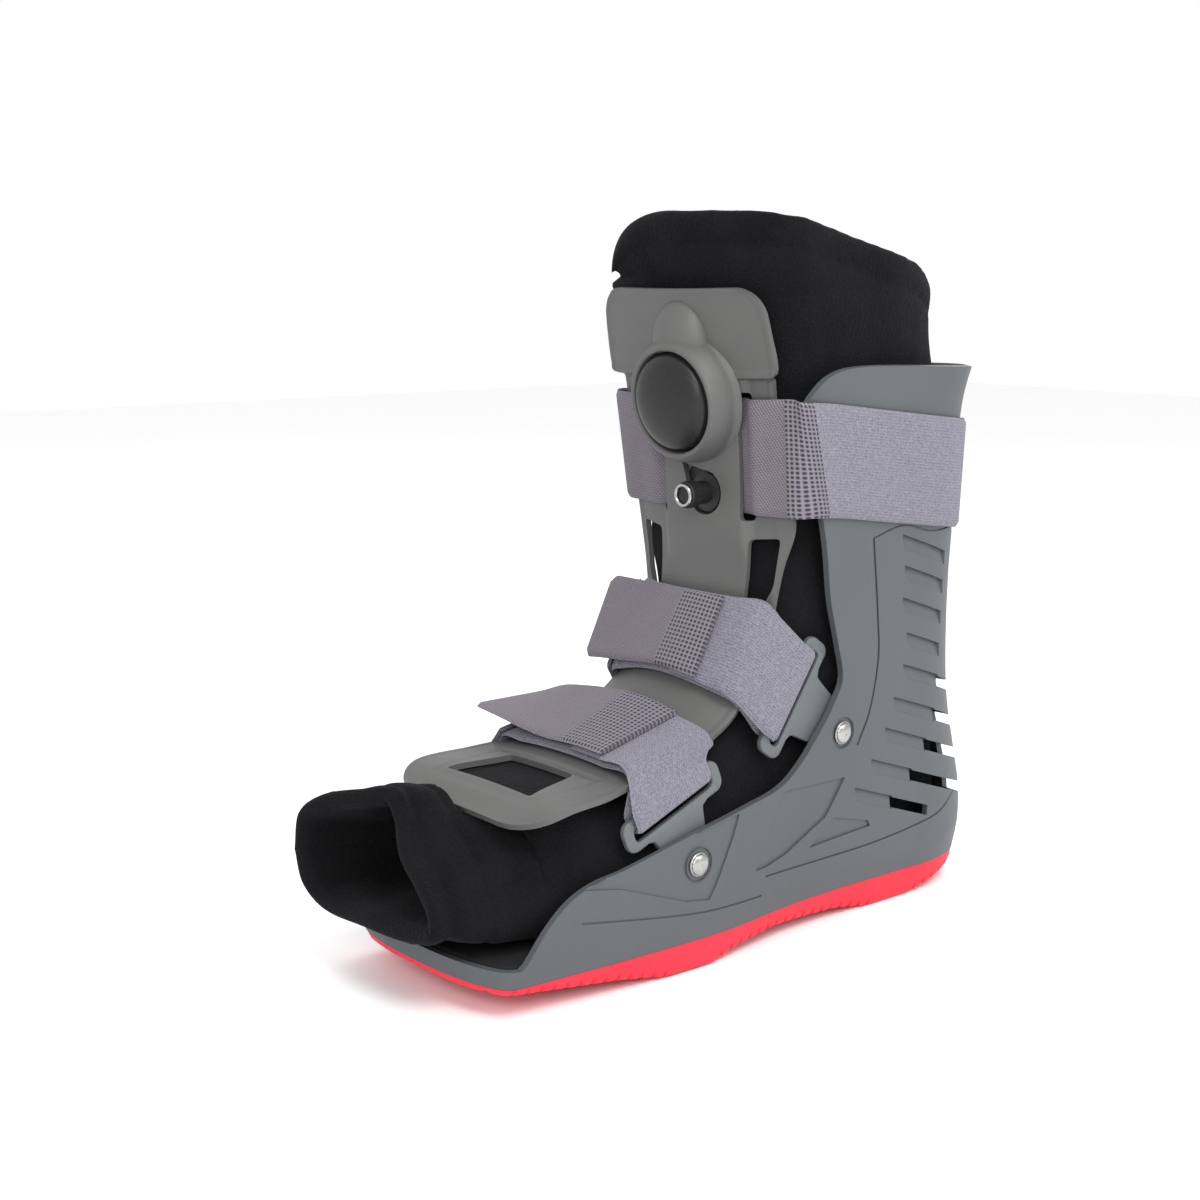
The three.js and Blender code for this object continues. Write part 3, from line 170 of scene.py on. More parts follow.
def gridFaces(rows, columns, wrapRows=False, wrapColumns=False, start=0):
    # Quads over a grid of points numbered row by row.
    r = np.arange(rows if wrapRows else rows - 1)
    c = np.arange(columns if wrapColumns else columns - 1)
    r, c = np.meshgrid(r, c, indexing="ij")
    r2, c2 = (r + 1) % rows, (c + 1) % columns
    quads = np.stack([r * columns + c, r2 * columns + c, r2 * columns + c2, r * columns + c2], -1)
    return (quads.reshape(-1, 4) + start).tolist()


def tidyNormals(piece, merge=0.00001):
    # Merges doubles, unless merge is 0, and turns the faces outwards.
    net = bmesh.new()
    net.from_mesh(piece.data)
    if merge:
        bmesh.ops.remove_doubles(net, verts=net.verts, dist=merge)
    bmesh.ops.recalc_face_normals(net, faces=net.faces)
    net.to_mesh(piece.data)
    net.free()
    piece.data.update()


def addModifier(piece, kind, **values):
    made = piece.modifiers.new(kind.lower(), kind)
    for name, value in values.items():
        setattr(made, name, value)
    return made


def applyModifiers(piece):
    graph = bpy.context.evaluated_depsgraph_get()
    piece.data = bpy.data.meshes.new_from_object(piece.evaluated_get(graph))
    piece.modifiers.clear()


def loftPiece(name, rings, node=None, slotName=None):
    # A closed solid through rings of equal length, each end closed by a fan.
    rings = np.asarray(rings, float)
    count, size = rings.shape[:2]
    points = np.concatenate([rings.reshape(-1, 3), rings[[0, -1]].mean(1)])
    faces = gridFaces(count, size, wrapColumns=True)
    for ring, middle in ((0, count * size), (count - 1, count * size + 1)):
        i = np.arange(size)
        fan = np.stack([ring * size + i, ring * size + (i + 1) % size, np.full(size, middle)], -1)
        faces += fan.tolist()
    piece = meshPiece(name, points, faces, node, slotName)
    tidyNormals(piece)
    return piece


def lathe(profile, origin, out, segments=96):
    # Turns [radius, height] pairs about the line from origin along out: a ring of points for each pair.
    out = out / np.linalg.norm(out)
    side = np.cross(out, [0.3, 0.1, 1.0])
    side /= np.linalg.norm(side)
    rise = np.cross(out, side)
    angle = np.linspace(0, 2 * np.pi, segments, endpoint=False)
    spoke = np.cos(angle)[:, None] * side + np.sin(angle)[:, None] * rise
    profile = np.asarray(profile, float)
    return origin + profile[:, 0, None, None] * spoke + profile[:, 1, None, None] * out


def ringFaces(count, size, start=0, wrapRows=False):
    return gridFaces(count, size, wrapRows=wrapRows, wrapColumns=True, start=start)


def joined(pieces):
    # Several (points, faces) pairs as one.
    points, faces, start = [], [], 0
    for p, f in pieces:
        p = np.asarray(p, float).reshape(-1, 3)
        points.append(p)
        faces += [[i + start for i in face] for face in f]
        start += len(p)
    return np.concatenate(points), faces


def prism(corners, origin, side, rise, out, low, high):
    # A closed prism along out over corners given as [side, rise] pairs.
    corners = np.asarray(corners, float)
    base = origin + corners[:, :1] * side + corners[:, 1:] * rise
    n = len(corners)
    i = np.arange(n)
    sides = np.stack([i, (i + 1) % n, (i + 1) % n + n, i + n], -1).tolist()
    points = np.concatenate([base + low * out, base + high * out])
    return points, sides + [i[::-1].tolist(), (i + n).tolist()]


def cutWith(piece, prisms, name):
    # Cuts all the prisms from a piece in one exact boolean.
    points, faces = joined(prisms)
    cutter = meshPiece(name, points, faces, smoothFaces=False)
    tidyNormals(cutter)
    addModifier(piece, "BOOLEAN", operation="DIFFERENCE", solver="EXACT", object=cutter)
    applyModifiers(piece)
    bpy.data.objects.remove(cutter)


def smoothByAngle(piece, degrees):
    # Smooth shading, with sharp edges where two faces meet at more than so many degrees.
    mesh = piece.data
    mesh.polygons.foreach_set("use_smooth", [True] * len(mesh.polygons))
    net = bmesh.new()
    net.from_mesh(mesh)
    for edge in net.edges:
        edge.smooth = len(edge.link_faces) == 2 and edge.calc_face_angle(0) < math.radians(degrees)
    net.to_mesh(mesh)
    net.free()


# Shell forms


def halfWidth(y, z):
    # Half the shell's width at y: a cubic through the four stations, each read at the height z.
    y, z = np.broadcast_arrays(np.asarray(y, float), np.asarray(z, float))
    names = list(shellStations)
    reach = [-shellStations[name] * boot["toeReach"] for name in names]
    level = z / boot["shellTop"]
    halves = np.array([smooth(shellSections, "height", name, level) * halfFoot for name in names])
    if y.ndim == 0:
        return float(hermite(reach, halves, float(y)))
    return hermite(reach, halves, y)


def rearReach(z):
    # How far back the heel lies at the height z.
    level = np.asarray(z, float) / boot["shellTop"]
    return smooth(shellSections, "height", "rear", level) * boot["heelReach"]


heelDepth = boot["heelDepth"] * boot["heelReach"]
toeDepth = boot["toeDepth"] * boot["toeReach"]
toeStart = toeDepth - boot["trayReach"]
toeTurn = halfFoot * math.pi / 2
heelTurn = heelDepth * math.pi / 2


def beside(q, z, offset=0.0):
    # The shell's outer face: q is the reach along the straight side, and past it the way round the
    # rounded heel or toe, each a quarter of a superellipse. offset moves the point outwards.
    q, z, offset = np.broadcast_arrays(*(np.asarray(v, float) for v in (q, z, offset)))
    heelStart = rearReach(z) - heelDepth
    back = np.clip((q - heelStart) / heelDepth, 0, np.pi / 2)
    front = np.clip((toeStart - q) / halfFoot, 0, np.pi / 2)
    y = np.clip(q, toeStart, heelStart)
    half = halfWidth(y, z) + offset
    atHeel, atToe = 2 / boot["heelPower"], 2 / boot["toePower"]
    x = half * np.cos(back) ** atHeel * np.clip(np.cos(front), 0, 1) ** atToe
    y = y + (heelDepth + offset) * np.sin(back) ** atHeel - (toeDepth + offset) * np.sin(front) ** atToe
    return np.stack([x, y, z], -1)


def planRing(z, inset, count=120):
    # The plan outline at height z as a closed ring, inset from the outer face.
    heelEnd = float(rearReach(z)) - heelDepth + heelTurn
    q = np.linspace(toeStart - toeTurn, heelEnd, count)
    side = beside(q, np.full(count, z), -inset)
    other = side[1:-1][::-1] * [-1, 1, 1]
    return np.concatenate([side, other])


# Front line and straps' ways


def catmull(points, samples):
    # A centripetal curve through points, [point, ...] by 3, sampled evenly in its own steps.
    points = np.asarray(points, float)
    points = np.concatenate([[2 * points[0] - points[1]], points, [2 * points[-1] - points[-2]]])
    gap = np.maximum(np.linalg.norm(np.diff(points, axis=0), axis=1) ** 0.5, 1e-4)
    u = np.linspace(0, len(points) - 3, samples)
    i = np.minimum(u.astype(int), len(points) - 4)
    t = (u - i)[:, None]
    p0, p1, p2, p3 = points[i], points[i + 1], points[i + 2], points[i + 3]
    d0, d1, d2 = gap[i, None], gap[i + 1, None], gap[i + 2, None]
    start = ((p1 - p0) / d0 - (p2 - p0) / (d0 + d1) + (p2 - p1) / d1) * d1
    end = ((p2 - p1) / d1 - (p3 - p1) / (d1 + d2) + (p3 - p2) / d2) * d1
    cube = 2 * p1 - 2 * p2 + start + end
    square = 3 * p2 - 3 * p1 - 2 * start - end
    return cube * t**3 + square * t**2 + start * t + p1


frontPoints = catmull(
    np.stack([
        np.zeros(len(frontLine["forward"])),
        -frontLine["forward"] * boot["toeReach"],
        frontLine["height"] * boot["linerTop"],
    ], -1),
    3001,
)
frontSteps = np.concatenate([[0], np.cumsum(np.linalg.norm(np.diff(frontPoints, axis=0), axis=1))])
frontLength = frontSteps[-1]
frontTangents = np.gradient(frontPoints, axis=0)
frontTangents /= np.linalg.norm(frontTangents, axis=1, keepdims=True)
panelTwist = 0.075


def stationAtHeight(z):
    beyond = frontSteps > 0.12 * frontLength
    return float(np.interp(z, frontPoints[beyond, 2], frontSteps[beyond]))


def overFront(station, x, lift):
    # A point over the front line: station along it, x across, lift outwards from the liner's face.
    # Across, the surface is a parabola with the table's radius, turned a little at the shin.
    station, x, lift = np.broadcast_arrays(*(np.asarray(v, float) for v in (station, x, lift)))
    station = np.clip(station, 0, frontLength)
    base = np.stack([np.interp(station, frontSteps, frontPoints[:, k]) for k in range(3)], -1)
    tangent = np.stack([np.interp(station, frontSteps, frontTangents[:, k]) for k in range(3)], -1)
    out = np.stack([np.zeros_like(station), -tangent[..., 2], tangent[..., 1]], -1)
    radius = smooth(frontLine, "height", "radius", base[..., 2] / boot["linerTop"]) * boot["footWidth"]
    twist = panelTwist * fade(0.48 * boot["linerTop"], 0.7 * boot["linerTop"], base[..., 2])
    point = base + out * (-(x**2) / (2 * radius) - twist * x)[..., None]
    point[..., 0] = x
    normal = out + np.stack([x / radius, np.zeros_like(x), np.zeros_like(x)], -1)
    normal /= np.linalg.norm(normal, axis=-1, keepdims=True)
    return point + normal * lift[..., None]


# Materials


class Sock:
    # A node's output, with the operators that add Math nodes.
    def __init__(self, tree, link):
        self.tree, self.link = tree, link

    def join(self, operation, a, b):
        node = self.tree.nodes.new("ShaderNodeMath")
        node.operation = operation
        for slot, value in zip(node.inputs, (a, b)):
            if isinstance(value, Sock):
                self.tree.links.new(value.link, slot)
            else:
                slot.default_value = value
        return Sock(self.tree, node.outputs[0])

    def __add__(self, other):
        return self.join("ADD", self, other)

    def __radd__(self, other):
        return self.join("ADD", other, self)

    def __sub__(self, other):
        return self.join("SUBTRACT", self, other)

    def __rsub__(self, other):
        return self.join("SUBTRACT", other, self)

    def __mul__(self, other):
        return self.join("MULTIPLY", self, other)

    def __rmul__(self, other):
        return self.join("MULTIPLY", other, self)


class Finish:
    # One material: node() makes any node, and principled() ends it.
    def __init__(self, name):
        self.material = bpy.data.materials.new(name)
        self.material.use_nodes = True
        self.tree = self.material.node_tree
        self.tree.nodes.clear()

    def node(self, kind, output=0, settings=None, **inputs):
        made = self.tree.nodes.new("ShaderNode" + kind)
        for name, value in (settings or {}).items():
            setattr(made, name, value)
        for name, value in inputs.items():
            slot = made.inputs[int(name[1:]) if name[1:].isdigit() else name.replace("_", " ")]
            if isinstance(value, Sock):
                self.tree.links.new(value.link, slot)
            else:
                slot.default_value = value
        return Sock(self.tree, made.outputs[output])

    def place(self):
        return self.node("TexCoord", output=3)

    def alongAndAcross(self):
        # How far along and across its band a point lies, in metres.
        split = self.tree.nodes.new("ShaderNodeSeparateXYZ")
        surface = self.node("UVMap", settings={"uv_map": "surface"})
        self.tree.links.new(surface.link, split.inputs[0])
        return Sock(self.tree, split.outputs[0]), Sock(self.tree, split.outputs[1])

    def noise(self, vector, scale, detail=3.0):
        return self.node("TexNoise", Vector=vector, Scale=scale, Detail=detail)

    def wave(self, value, turns):
        # 0 to 1 sine of a value in steps of so many turns a unit.
        turned = value * (turns * 2 * math.pi)
        return self.node("Math", settings={"operation": "SINE"}, i0=turned) * 0.5 + 0.5

    def mix(self, amount, first, second):
        colours = {"i6": (*first, 1), "i7": (*second, 1)}
        return self.node("Mix", output=2, settings={"data_type": "RGBA"}, i0=amount, **colours)

    def bump(self, height, distance, strength=1.0):
        return self.node("Bump", Height=height, Distance=distance, Strength=strength)

    def done(self, colour, roughness, normal=None, metallic=0.0, sheen=0.0, sheenColour=None, gloss=0.5):
        inputs = {"Base_Color": colour, "Roughness": roughness, "Metallic": metallic,
                  "Sheen_Weight": sheen, "Specular_IOR_Level": gloss}
        if normal is not None:
            inputs["Normal"] = normal
        if sheenColour is not None:
            inputs["Sheen_Tint"] = (*sheenColour, 1)
            inputs["Sheen_Roughness"] = 0.5
        shader = self.node("BsdfPrincipled", **inputs)
        end = self.tree.nodes.new("ShaderNodeOutputMaterial")
        self.tree.links.new(shader.link, end.inputs[0])
        return self.material


def mouldedPlastic(name, dark, light, roughness=0.52):
    # Moulded grey plastic: slow flow marks in the colour, a fine beaded grain in the surface.
    f = Finish(name)
    at = f.place()
    flow = f.noise(at, 14.0, 4.0)
    grain = f.noise(at, 1900.0, 2.0)
    scuff = f.noise(at, 160.0, 5.0)
    colour = f.mix(flow * 0.7 + scuff * 0.3, dark, light)
    return f.done(colour, roughness - 0.1 + scuff * 0.2, f.bump(grain + scuff * 0.6, 0.00012, 0.6))


def soleRubber():
    # Red rubber, patched a little in tone, with fine pores.
    f = Finish("redSoleRubber")
    at = f.place()
    patch = f.noise(at, 25.0, 4.0)
    pores = f.noise(at, 900.0, 3.0)
    colour = f.mix(patch, (0.7, 0.006, 0.02), (0.83, 0.018, 0.048))
    return f.done(colour, 0.5 + pores * 0.25, f.bump(pores, 0.0004, 0.7))


def linerCloth():
    # Black brushed knit: tiny loops, matted in patches, with a soft sheen.
    f = Finish("linerBrushedKnit")
    at = f.place()
    loops = f.node("TexVoronoi", Vector=at, Scale=1100.0)
    fuzz = f.noise(at, 700.0, 4.0)
    mat = f.noise(at, 45.0, 4.0)
    colour = f.mix(mat * 0.6 + fuzz * 0.4, (0.0004, 0.0004, 0.0005), (0.013, 0.013, 0.0145))
    nap = f.bump(loops * 0.7 + fuzz + mat * 1.5, 0.0006, 0.8)
    return f.done(colour, 0.92, nap, sheen=0.05, sheenColour=(0.5, 0.5, 0.55), gloss=0.05)


def insoleFoam():
    # Black foam with closed cells.
    f = Finish("insoleFoam")
    cells = f.noise(f.place(), 1500.0, 3.0)
    colour = f.mix(cells, (0.008, 0.008, 0.009), (0.02, 0.02, 0.022))
    return f.done(colour, 0.85, f.bump(cells, 0.0003, 0.8), gloss=0.15)


def twill():
    # Woven twill: thread ribs run slanting over the strap, and each rib is broken by the weft.
    f = Finish("strapTwill")
    u, v = f.alongAndAcross()
    thread = 1.5
    rib = f.wave(u + v * 0.75, 1000.0 / thread)
    weft = f.wave(v - u * 0.2, 1000.0 / (thread * 0.75))
    wool = f.noise(f.place(), 1400.0, 3.0)
    stain = f.noise(f.place(), 30.0, 3.0)
    worn = rib * 0.4 + weft * 0.2 + wool * 0.3 + stain * 0.15
    colour = f.mix(worn, (0.045, 0.04, 0.048), (0.225, 0.205, 0.235))
    weave = f.bump(rib * 0.65 + weft * 0.35 + wool * 0.5, 0.00035, 0.9)
    return f.done(colour, 0.85, weave, sheen=0.08, sheenColour=(0.75, 0.72, 0.8), gloss=0.25)


def sewnMesh():
    # The sewn end of the webbing: a dark net of open squares with pale stitches.
    f = Finish("sewnNetBand")
    u, v = f.alongAndAcross()
    net = f.wave(u, 1000.0 / 2.1) * f.wave(v, 1000.0 / 1.9)
    wool = f.noise(f.place(), 1500.0, 3.0)
    colour = f.mix(net * 1.5 + wool * 0.25, (0.2, 0.185, 0.222), (0.035, 0.032, 0.041))
    weave = f.bump(wool * 0.4 - net, 0.0006, 0.9)
    return f.done(colour, 0.85, weave, sheen=0.06, sheenColour=(0.7, 0.7, 0.8), gloss=0.25)


def fluffyLoop():
    # The loop side of hook-and-loop tape: a napped face of little curls.
    f = Finish("fluffyLoopFace")
    at = f.place()
    curls = f.noise(at, 800.0, 5.0)
    tufts = f.node("TexVoronoi", Vector=at, Scale=900.0)
    u, v = f.alongAndAcross()
    rows = f.wave(v + f.wave(u, 700.0) * 0.0005, 1000.0 / 1.3)
    colour = f.mix(curls * 0.6 + tufts * 0.4 + rows * 0.25, (0.075, 0.07, 0.09), (0.235, 0.226, 0.275))
    nap = f.bump(curls + tufts * 0.6 + rows * 0.5, 0.0006, 0.9)
    return f.done(colour, 0.95, nap, sheen=0.22, sheenColour=(0.8, 0.77, 0.85), gloss=0.2)


def blackRubber(name, roughness, scale=500.0):
    # Fine matt grain over near black.
    f = Finish(name)
    grain = f.noise(f.place(), scale, 3.0)
    return f.done(f.mix(grain, (0.006, 0.006, 0.007), (0.016, 0.016, 0.017)), roughness + grain * 0.12,
                  f.bump(grain, 0.00008, 0.4), gloss=0.3)


def brightSteel():
    # Polished metal with a faint cloud in it.
    f = Finish("brightRivetSteel")
    brushed = f.noise(f.place(), 420.0, 4.0)
    return f.done(f.mix(brushed, (0.3, 0.3, 0.29), (0.5, 0.495, 0.48)), 0.2 + brushed * 0.14,
                  f.bump(brushed, 0.00004, 0.4), metallic=1.0)


finishes = {
    "shell": mouldedPlastic("shellPlastic", (0.052, 0.058, 0.063), (0.082, 0.09, 0.098)),
    "panel": mouldedPlastic("panelPlastic", (0.062, 0.062, 0.061), (0.098, 0.097, 0.095)),
    "loop": mouldedPlastic("loopPlastic", (0.08, 0.088, 0.095), (0.115, 0.123, 0.131), 0.46),
    "sole": soleRubber(),
    "insole": insoleFoam(),
    "liner": linerCloth(),
    "twill": twill(),
    "net": sewnMesh(),
    "fluff": fluffyLoop(),
    "bulb": blackRubber("pumpBulbRubber", 0.34),
    "knob": blackRubber("knobPlastic", 0.42, 900.0),
    "steel": brightSteel(),
}
print("finishes made:", len(finishes))


def paint(piece, *names):
    piece.data.materials.clear()
    for name in names:
        piece.data.materials.append(finishes[name])


def turnedPiece(name, profile, origin, out, segments, node, slotName, finish, degrees, hollow=False):
    # A turned piece, dressed and painted. hollow joins the profile's end to its start.
    points = lathe(profile, origin, out, segments).reshape(-1, 3)
    piece = meshPiece(name, points, ringFaces(len(profile), segments, wrapRows=hollow), node, slotName)
    tidyNormals(piece)
    smoothByAngle(piece, degrees)
    paint(piece, finish)


# Shell

shell = {
    "alongHalf": 190, "up": 90,
    "slotReach": 0.75, "slotWidth": 8.2, "slotHalf": 26.6, "strapRear": 0.795,
    "rivetRecess": 7.0, "recessDepth": 0.9, "louvreHeight": 6.0, "louvreSlope": 0.33, "louvreDepth": 1.6,
    "louvreEnd": 93.0, "heelSpine": 9.0, "fineGap": 1.2, "cutterRise": 1.5,
}
# Louvres from the top down: upper front corner, and where the wall opens behind it (0 for closed)
shellLouvres = [
    (60, 168, 0, 0), (63, 154, 0, 0), (63, 140, 0, 0), (67, 124, 0, 0), (66, 110, 92.5, 200),
    (61, 96, 90, 200), (56, 83, 84.3, 200), (48, 70.1, 76.2, 200), (38, 59, 63.9, 89.8),
]
shellRecesses = [  # convex corners as [y, z], and the depth
    ([(-9, 66), (31, 65), (20, 49), (-4, 38), (-18, 35), (-25, 35)], 0.9),
    ([(-119, 46), (-100, 43), (-66, 31), (-52, 29), (-40, 52), (-36, 62), (-62, 58)], 0.7),
    ([(25, 48), (49, 42), (51, 39), (11, 37)], 0.9),
]
shellCreases = [  # lines as [y, z], the half width and the depth
    ([(-18, 31), (20, 30), (60, 31), (97, 36), (112, 44)], 0.45, 0.6),
    ([(41, 168), (47, 134), (49, 114), (45, 92), (38, 78)], 0.6, 0.8),
    ([(41, 168), (60, 172), (78, 168), (100, 168)], 0.4, 0.6),
    ([(-119, 33), (-60, 25), (-20, 23)], 0.4, 0.5),
]
rivetPlaces = {"ankle": (-0.172, 0.354, 0.018, 0.443), "forefoot": (0.357, 0.188, 0.43, 0.309)}


def ribbonCutter(edges, side):
    # A closed cutter over the wall: four edges as (y, z, offset from the outer face), joined round.
    rings = [besideFace(y, z, np.full(len(y), offset)) * [side, 1, 1] for y, z, offset in edges]
    count = len(edges[0][0])
    last = 4 * count - 4
    faces = gridFaces(count, 4, wrapColumns=True) + [[0, 1, 2, 3], [last + i for i in range(4)]]
    return np.stack(rings, 1).reshape(-1, 3), faces


def sunkCutter(y, low, high, side, atLow, atHigh):
    # Between two heights for each y, as deep as told at either edge.
    above = shell["cutterRise"]
    return ribbonCutter([(y, low, above), (y, high, above), (y, high, -atHigh), (y, low, -atLow)], side)


def besideFace(y, z, offset):
    # The outer face at a reach y, also round the heel, where q follows from the superellipse.
    heelStart = rearReach(z) - heelDepth
    sine = np.clip((y - heelStart) / heelDepth, 0, 0.999) ** (boot["heelPower"] / 2)
    q = np.where(y > heelStart, heelStart + heelDepth * np.arcsin(sine), y)
    return beside(q, z, offset)


def grooveCutter(line, half, side, deep, step=2.5):
    # Along a polyline of [y, z] points, as wide as told and as deep.
    line = np.array(line, float)
    way = np.concatenate([[0], np.cumsum(np.linalg.norm(np.diff(line, axis=0), axis=1))])
    at = np.linspace(0, way[-1], int(way[-1] / step))
    path = np.stack([hermite(way, line[:, k], at) for k in (0, 1)], -1)
    along = np.gradient(path, axis=0)
    across = np.stack([-along[:, 1], along[:, 0]], -1) / np.linalg.norm(along, axis=1, keepdims=True) * half
    near, far = (path - across).T, (path + across).T
    above = shell["cutterRise"]
    return ribbonCutter([(*near, above), (*far, above), (*far, -deep), (*near, -deep)], side)


def recessCutter(name, side, segments=56):
    # A shallow round seat for a rivet's head.
    origin, out = plateFrame(name, side)[:2]
    radius, deep = shell["rivetRecess"], shell["recessDepth"]
    profile = [(0.01, 2), (radius + 0.3, 2), (radius - 0.2, -deep), (0.01, -deep)]
    return lathe(profile, origin, out, segments).reshape(-1, 3), ringFaces(len(profile), segments)


def louvreCutter(front, top, openFrom, side):
    # A shingled louvre, deepest along its upper edge and narrow at its front end.
    y = np.linspace(front, openFrom + 0.4 if openFrom else shell["louvreEnd"], 22)
    high = top - (y - front) * shell["louvreSlope"]
    low = high - shell["louvreHeight"] * np.clip((y - front) / 3.5 + 0.45, 0, 1)
    return sunkCutter(y, low, high, side, 0.25, shell["louvreDepth"])


def webCutter(corners, deep, side):
    # A flat sunk web: for each y, the lowest and the highest height of its convex outline.
    corners = np.array(corners, float)
    y = np.linspace(corners[:, 0].min() + 0.4, corners[:, 0].max() - 0.4, 26)
    low, high = np.full(len(y), 1e9), np.full(len(y), -1e9)
    for ends in zip(corners.tolist(), np.roll(corners, -1, 0).tolist()):
        (startY, startZ), (endY, endZ) = sorted(ends)
        within = (y >= startY) & (y <= endY)
        if within.any():
            z = np.interp(y, [startY, endY], [startZ, endZ])
            low = np.where(within, np.minimum(low, z), low)
            high = np.where(within, np.maximum(high, z), high)
    return sunkCutter(y, low, high, side, deep, deep)


def sunkCutters():
    cutters = []
    for side in (-1, 1):
        cutters += [louvreCutter(front, top, openFrom, side) for front, top, openFrom, _ in shellLouvres]
        cutters += [webCutter(corners, deep, side) for corners, deep in shellRecesses]
        cutters += [recessCutter(name, side) for name in rivetPlaces]
    return cutters


def shellWall():
    # Half the wall is a grid between its foot and its free edge, both as (q, z), mirrored for the other.
    edgeQ = -wallEdge["forward"] * boot["toeReach"]
    edgeZ = wallEdge["height"] * boot["shellTop"]
    baseQ = -wallEdge["base"] * boot["toeReach"]
    toeEnd = toeStart - toeTurn
    heelEnd = float(rearReach(boot["shellTop"])) - heelDepth + heelTurn
    baseEnd = float(rearReach(boot["soleThickness"])) - heelDepth + heelTurn
    edgeQ = np.concatenate([[toeEnd, toeStart], edgeQ, [edgeQ[-1] * 0.4 + heelEnd * 0.6, heelEnd]])
    edgeZ = np.concatenate([[edgeZ[0]] * 2, edgeZ, [0.99 * boot["shellTop"], 0.985 * boot["shellTop"]]])
    baseQ = np.concatenate([[toeEnd, toeStart], baseQ, [baseQ[-1] * 0.4 + baseEnd * 0.6, baseEnd]])
    steps = np.hypot(np.diff(edgeQ), np.diff(edgeZ)) * 0.6 + np.abs(np.diff(baseQ)) * 0.4
    way = np.concatenate([[0], np.cumsum(steps)])
    at = np.linspace(0, way[-1], shell["alongHalf"])
    edgeQ, edgeZ, baseQ = (hermite(way, column, at) for column in (edgeQ, edgeZ, baseQ))
    v = np.linspace(0, 1, shell["up"])
    q = baseQ[:, None] * (1 - v) + edgeQ[:, None] * v
    z = boot["soleThickness"] * (1 - v) + edgeZ[:, None] * v
    side = beside(q, z)
    other = side[::-1] * [-1, 1, 1]
    return np.concatenate([side, other[1:-1]])


def plateFrame(name, side):
    # A rivet's point on the wall, its plate's outward, upward and lengthwise directions, and its length.
    rivetForward, rivetHeight, barForward, barHeight = rivetPlaces[name]
    y, z = -rivetForward * boot["toeReach"], rivetHeight * boot["shellTop"]
    slopeY = (halfWidth(y + 1, z) - halfWidth(y - 1, z)) / 2
    slopeZ = (halfWidth(y, z + 1) - halfWidth(y, z - 1)) / 2
    out = np.array([side, -slopeY, -slopeZ])
    out /= np.linalg.norm(out)
    origin = np.array([side * halfWidth(y, z), y, z])
    toBar = np.array([0, -barForward * boot["toeReach"] - y, barHeight * boot["shellTop"] - z])
    length = np.linalg.norm(toBar)
    rise = toBar - out * (toBar @ out)
    rise /= np.linalg.norm(rise)
    return origin, out, rise, np.cross(rise, out), length


def openCutters(side):
    # The louvres' slits, and the strap's slot in the wing.
    ahead, upwards, outwards = np.eye(3)[1], np.eye(3)[2], np.eye(3)[0] * side
    gap = shell["fineGap"] / 2
    cutters = []
    for front, top, openFrom, openTo in shellLouvres:
        if not openFrom:
            continue
        high = [(y, top - (y - front) * shell["louvreSlope"] - gap) for y in (openTo, openFrom)]
        low = [(y, z - shell["louvreHeight"] + 2 * gap) for y, z in high[::-1]]
        cutters.append(prism(low + high, np.zeros(3), ahead, upwards, outwards, shell["heelSpine"], 90))
    rear = shell["slotReach"] * boot["heelReach"]
    middle = shell["strapRear"] * boot["shellTop"]
    half = shell["slotHalf"]
    corners = [(rear, middle - half), (rear + shell["slotWidth"], middle - half),
               (rear + shell["slotWidth"], middle + half), (rear, middle + half)]
    cutters.append(prism(corners, np.zeros(3), ahead, upwards, outwards, 22, 90))
    return cutters


def buildShell():
    wall = shellWall()
    rows, columns = wall.shape[:2]
    piece = meshPiece("shellMoulding", wall.reshape(-1, 3), gridFaces(rows, columns, wrapRows=True))
    tidyNormals(piece)
    addModifier(piece, "SOLIDIFY", thickness=boot["shellWall"] * 0.001, offset=-1, use_even_offset=False)
    applyModifiers(piece)
    cutWith(piece, openCutters(-1) + openCutters(1), "shellCuts")
    cutWith(piece, sunkCutters(), "sunkForms")
    for line, half, deep in shellCreases:
        cutWith(piece, [grooveCutter(line, half, side, deep) for side in (-1, 1)], "groove")
    floor = planRing(boot["soleThickness"], boot["shellWall"] * 0.5)[:, :2]
    tops = [boot["soleThickness"], boot["soleThickness"] + boot["floorThickness"]]
    rings = [np.concatenate([floor, np.full((len(floor), 1), z)], 1) for z in tops]
    joinInto(piece, loftPiece("shellFloor", rings))
    smoothByAngle(piece, 32)
    dress(piece, "shell")
    paint(piece, "shell")


def joinInto(piece, *others):
    # Joins whole objects, without a boolean.
    with bpy.context.temp_override(active_object=piece, selected_editable_objects=[piece, *others],
                                   selected_objects=[piece, *others], object=piece):
        bpy.ops.object.join()


buildShell()
print("shell made")

# Outsole and footbed

sole = {
    "along": 640, "across": 40, "outline": 900, "treadPitch": 6.2, "treadDepth": 1.7, "rimRound": 1.2,
    "flatUnder": 0.02, "leastOverTread": 1.5, "edgeDraw": 0.6,
}
soleProfile = table("forward height", [
    (1.0, 0.86), (0.93, 0.76), (0.83, 0.64), (0.6, 0.33), (0.45, 0), (0.29, 0), (0.2, 0.25), (0.04, 0.39),
    (-0.2, 0.26), (-0.34, 0), (-0.5, 0), (-0.6, 0.22), (-0.7, 0.5), (-0.82, 0.88),
])


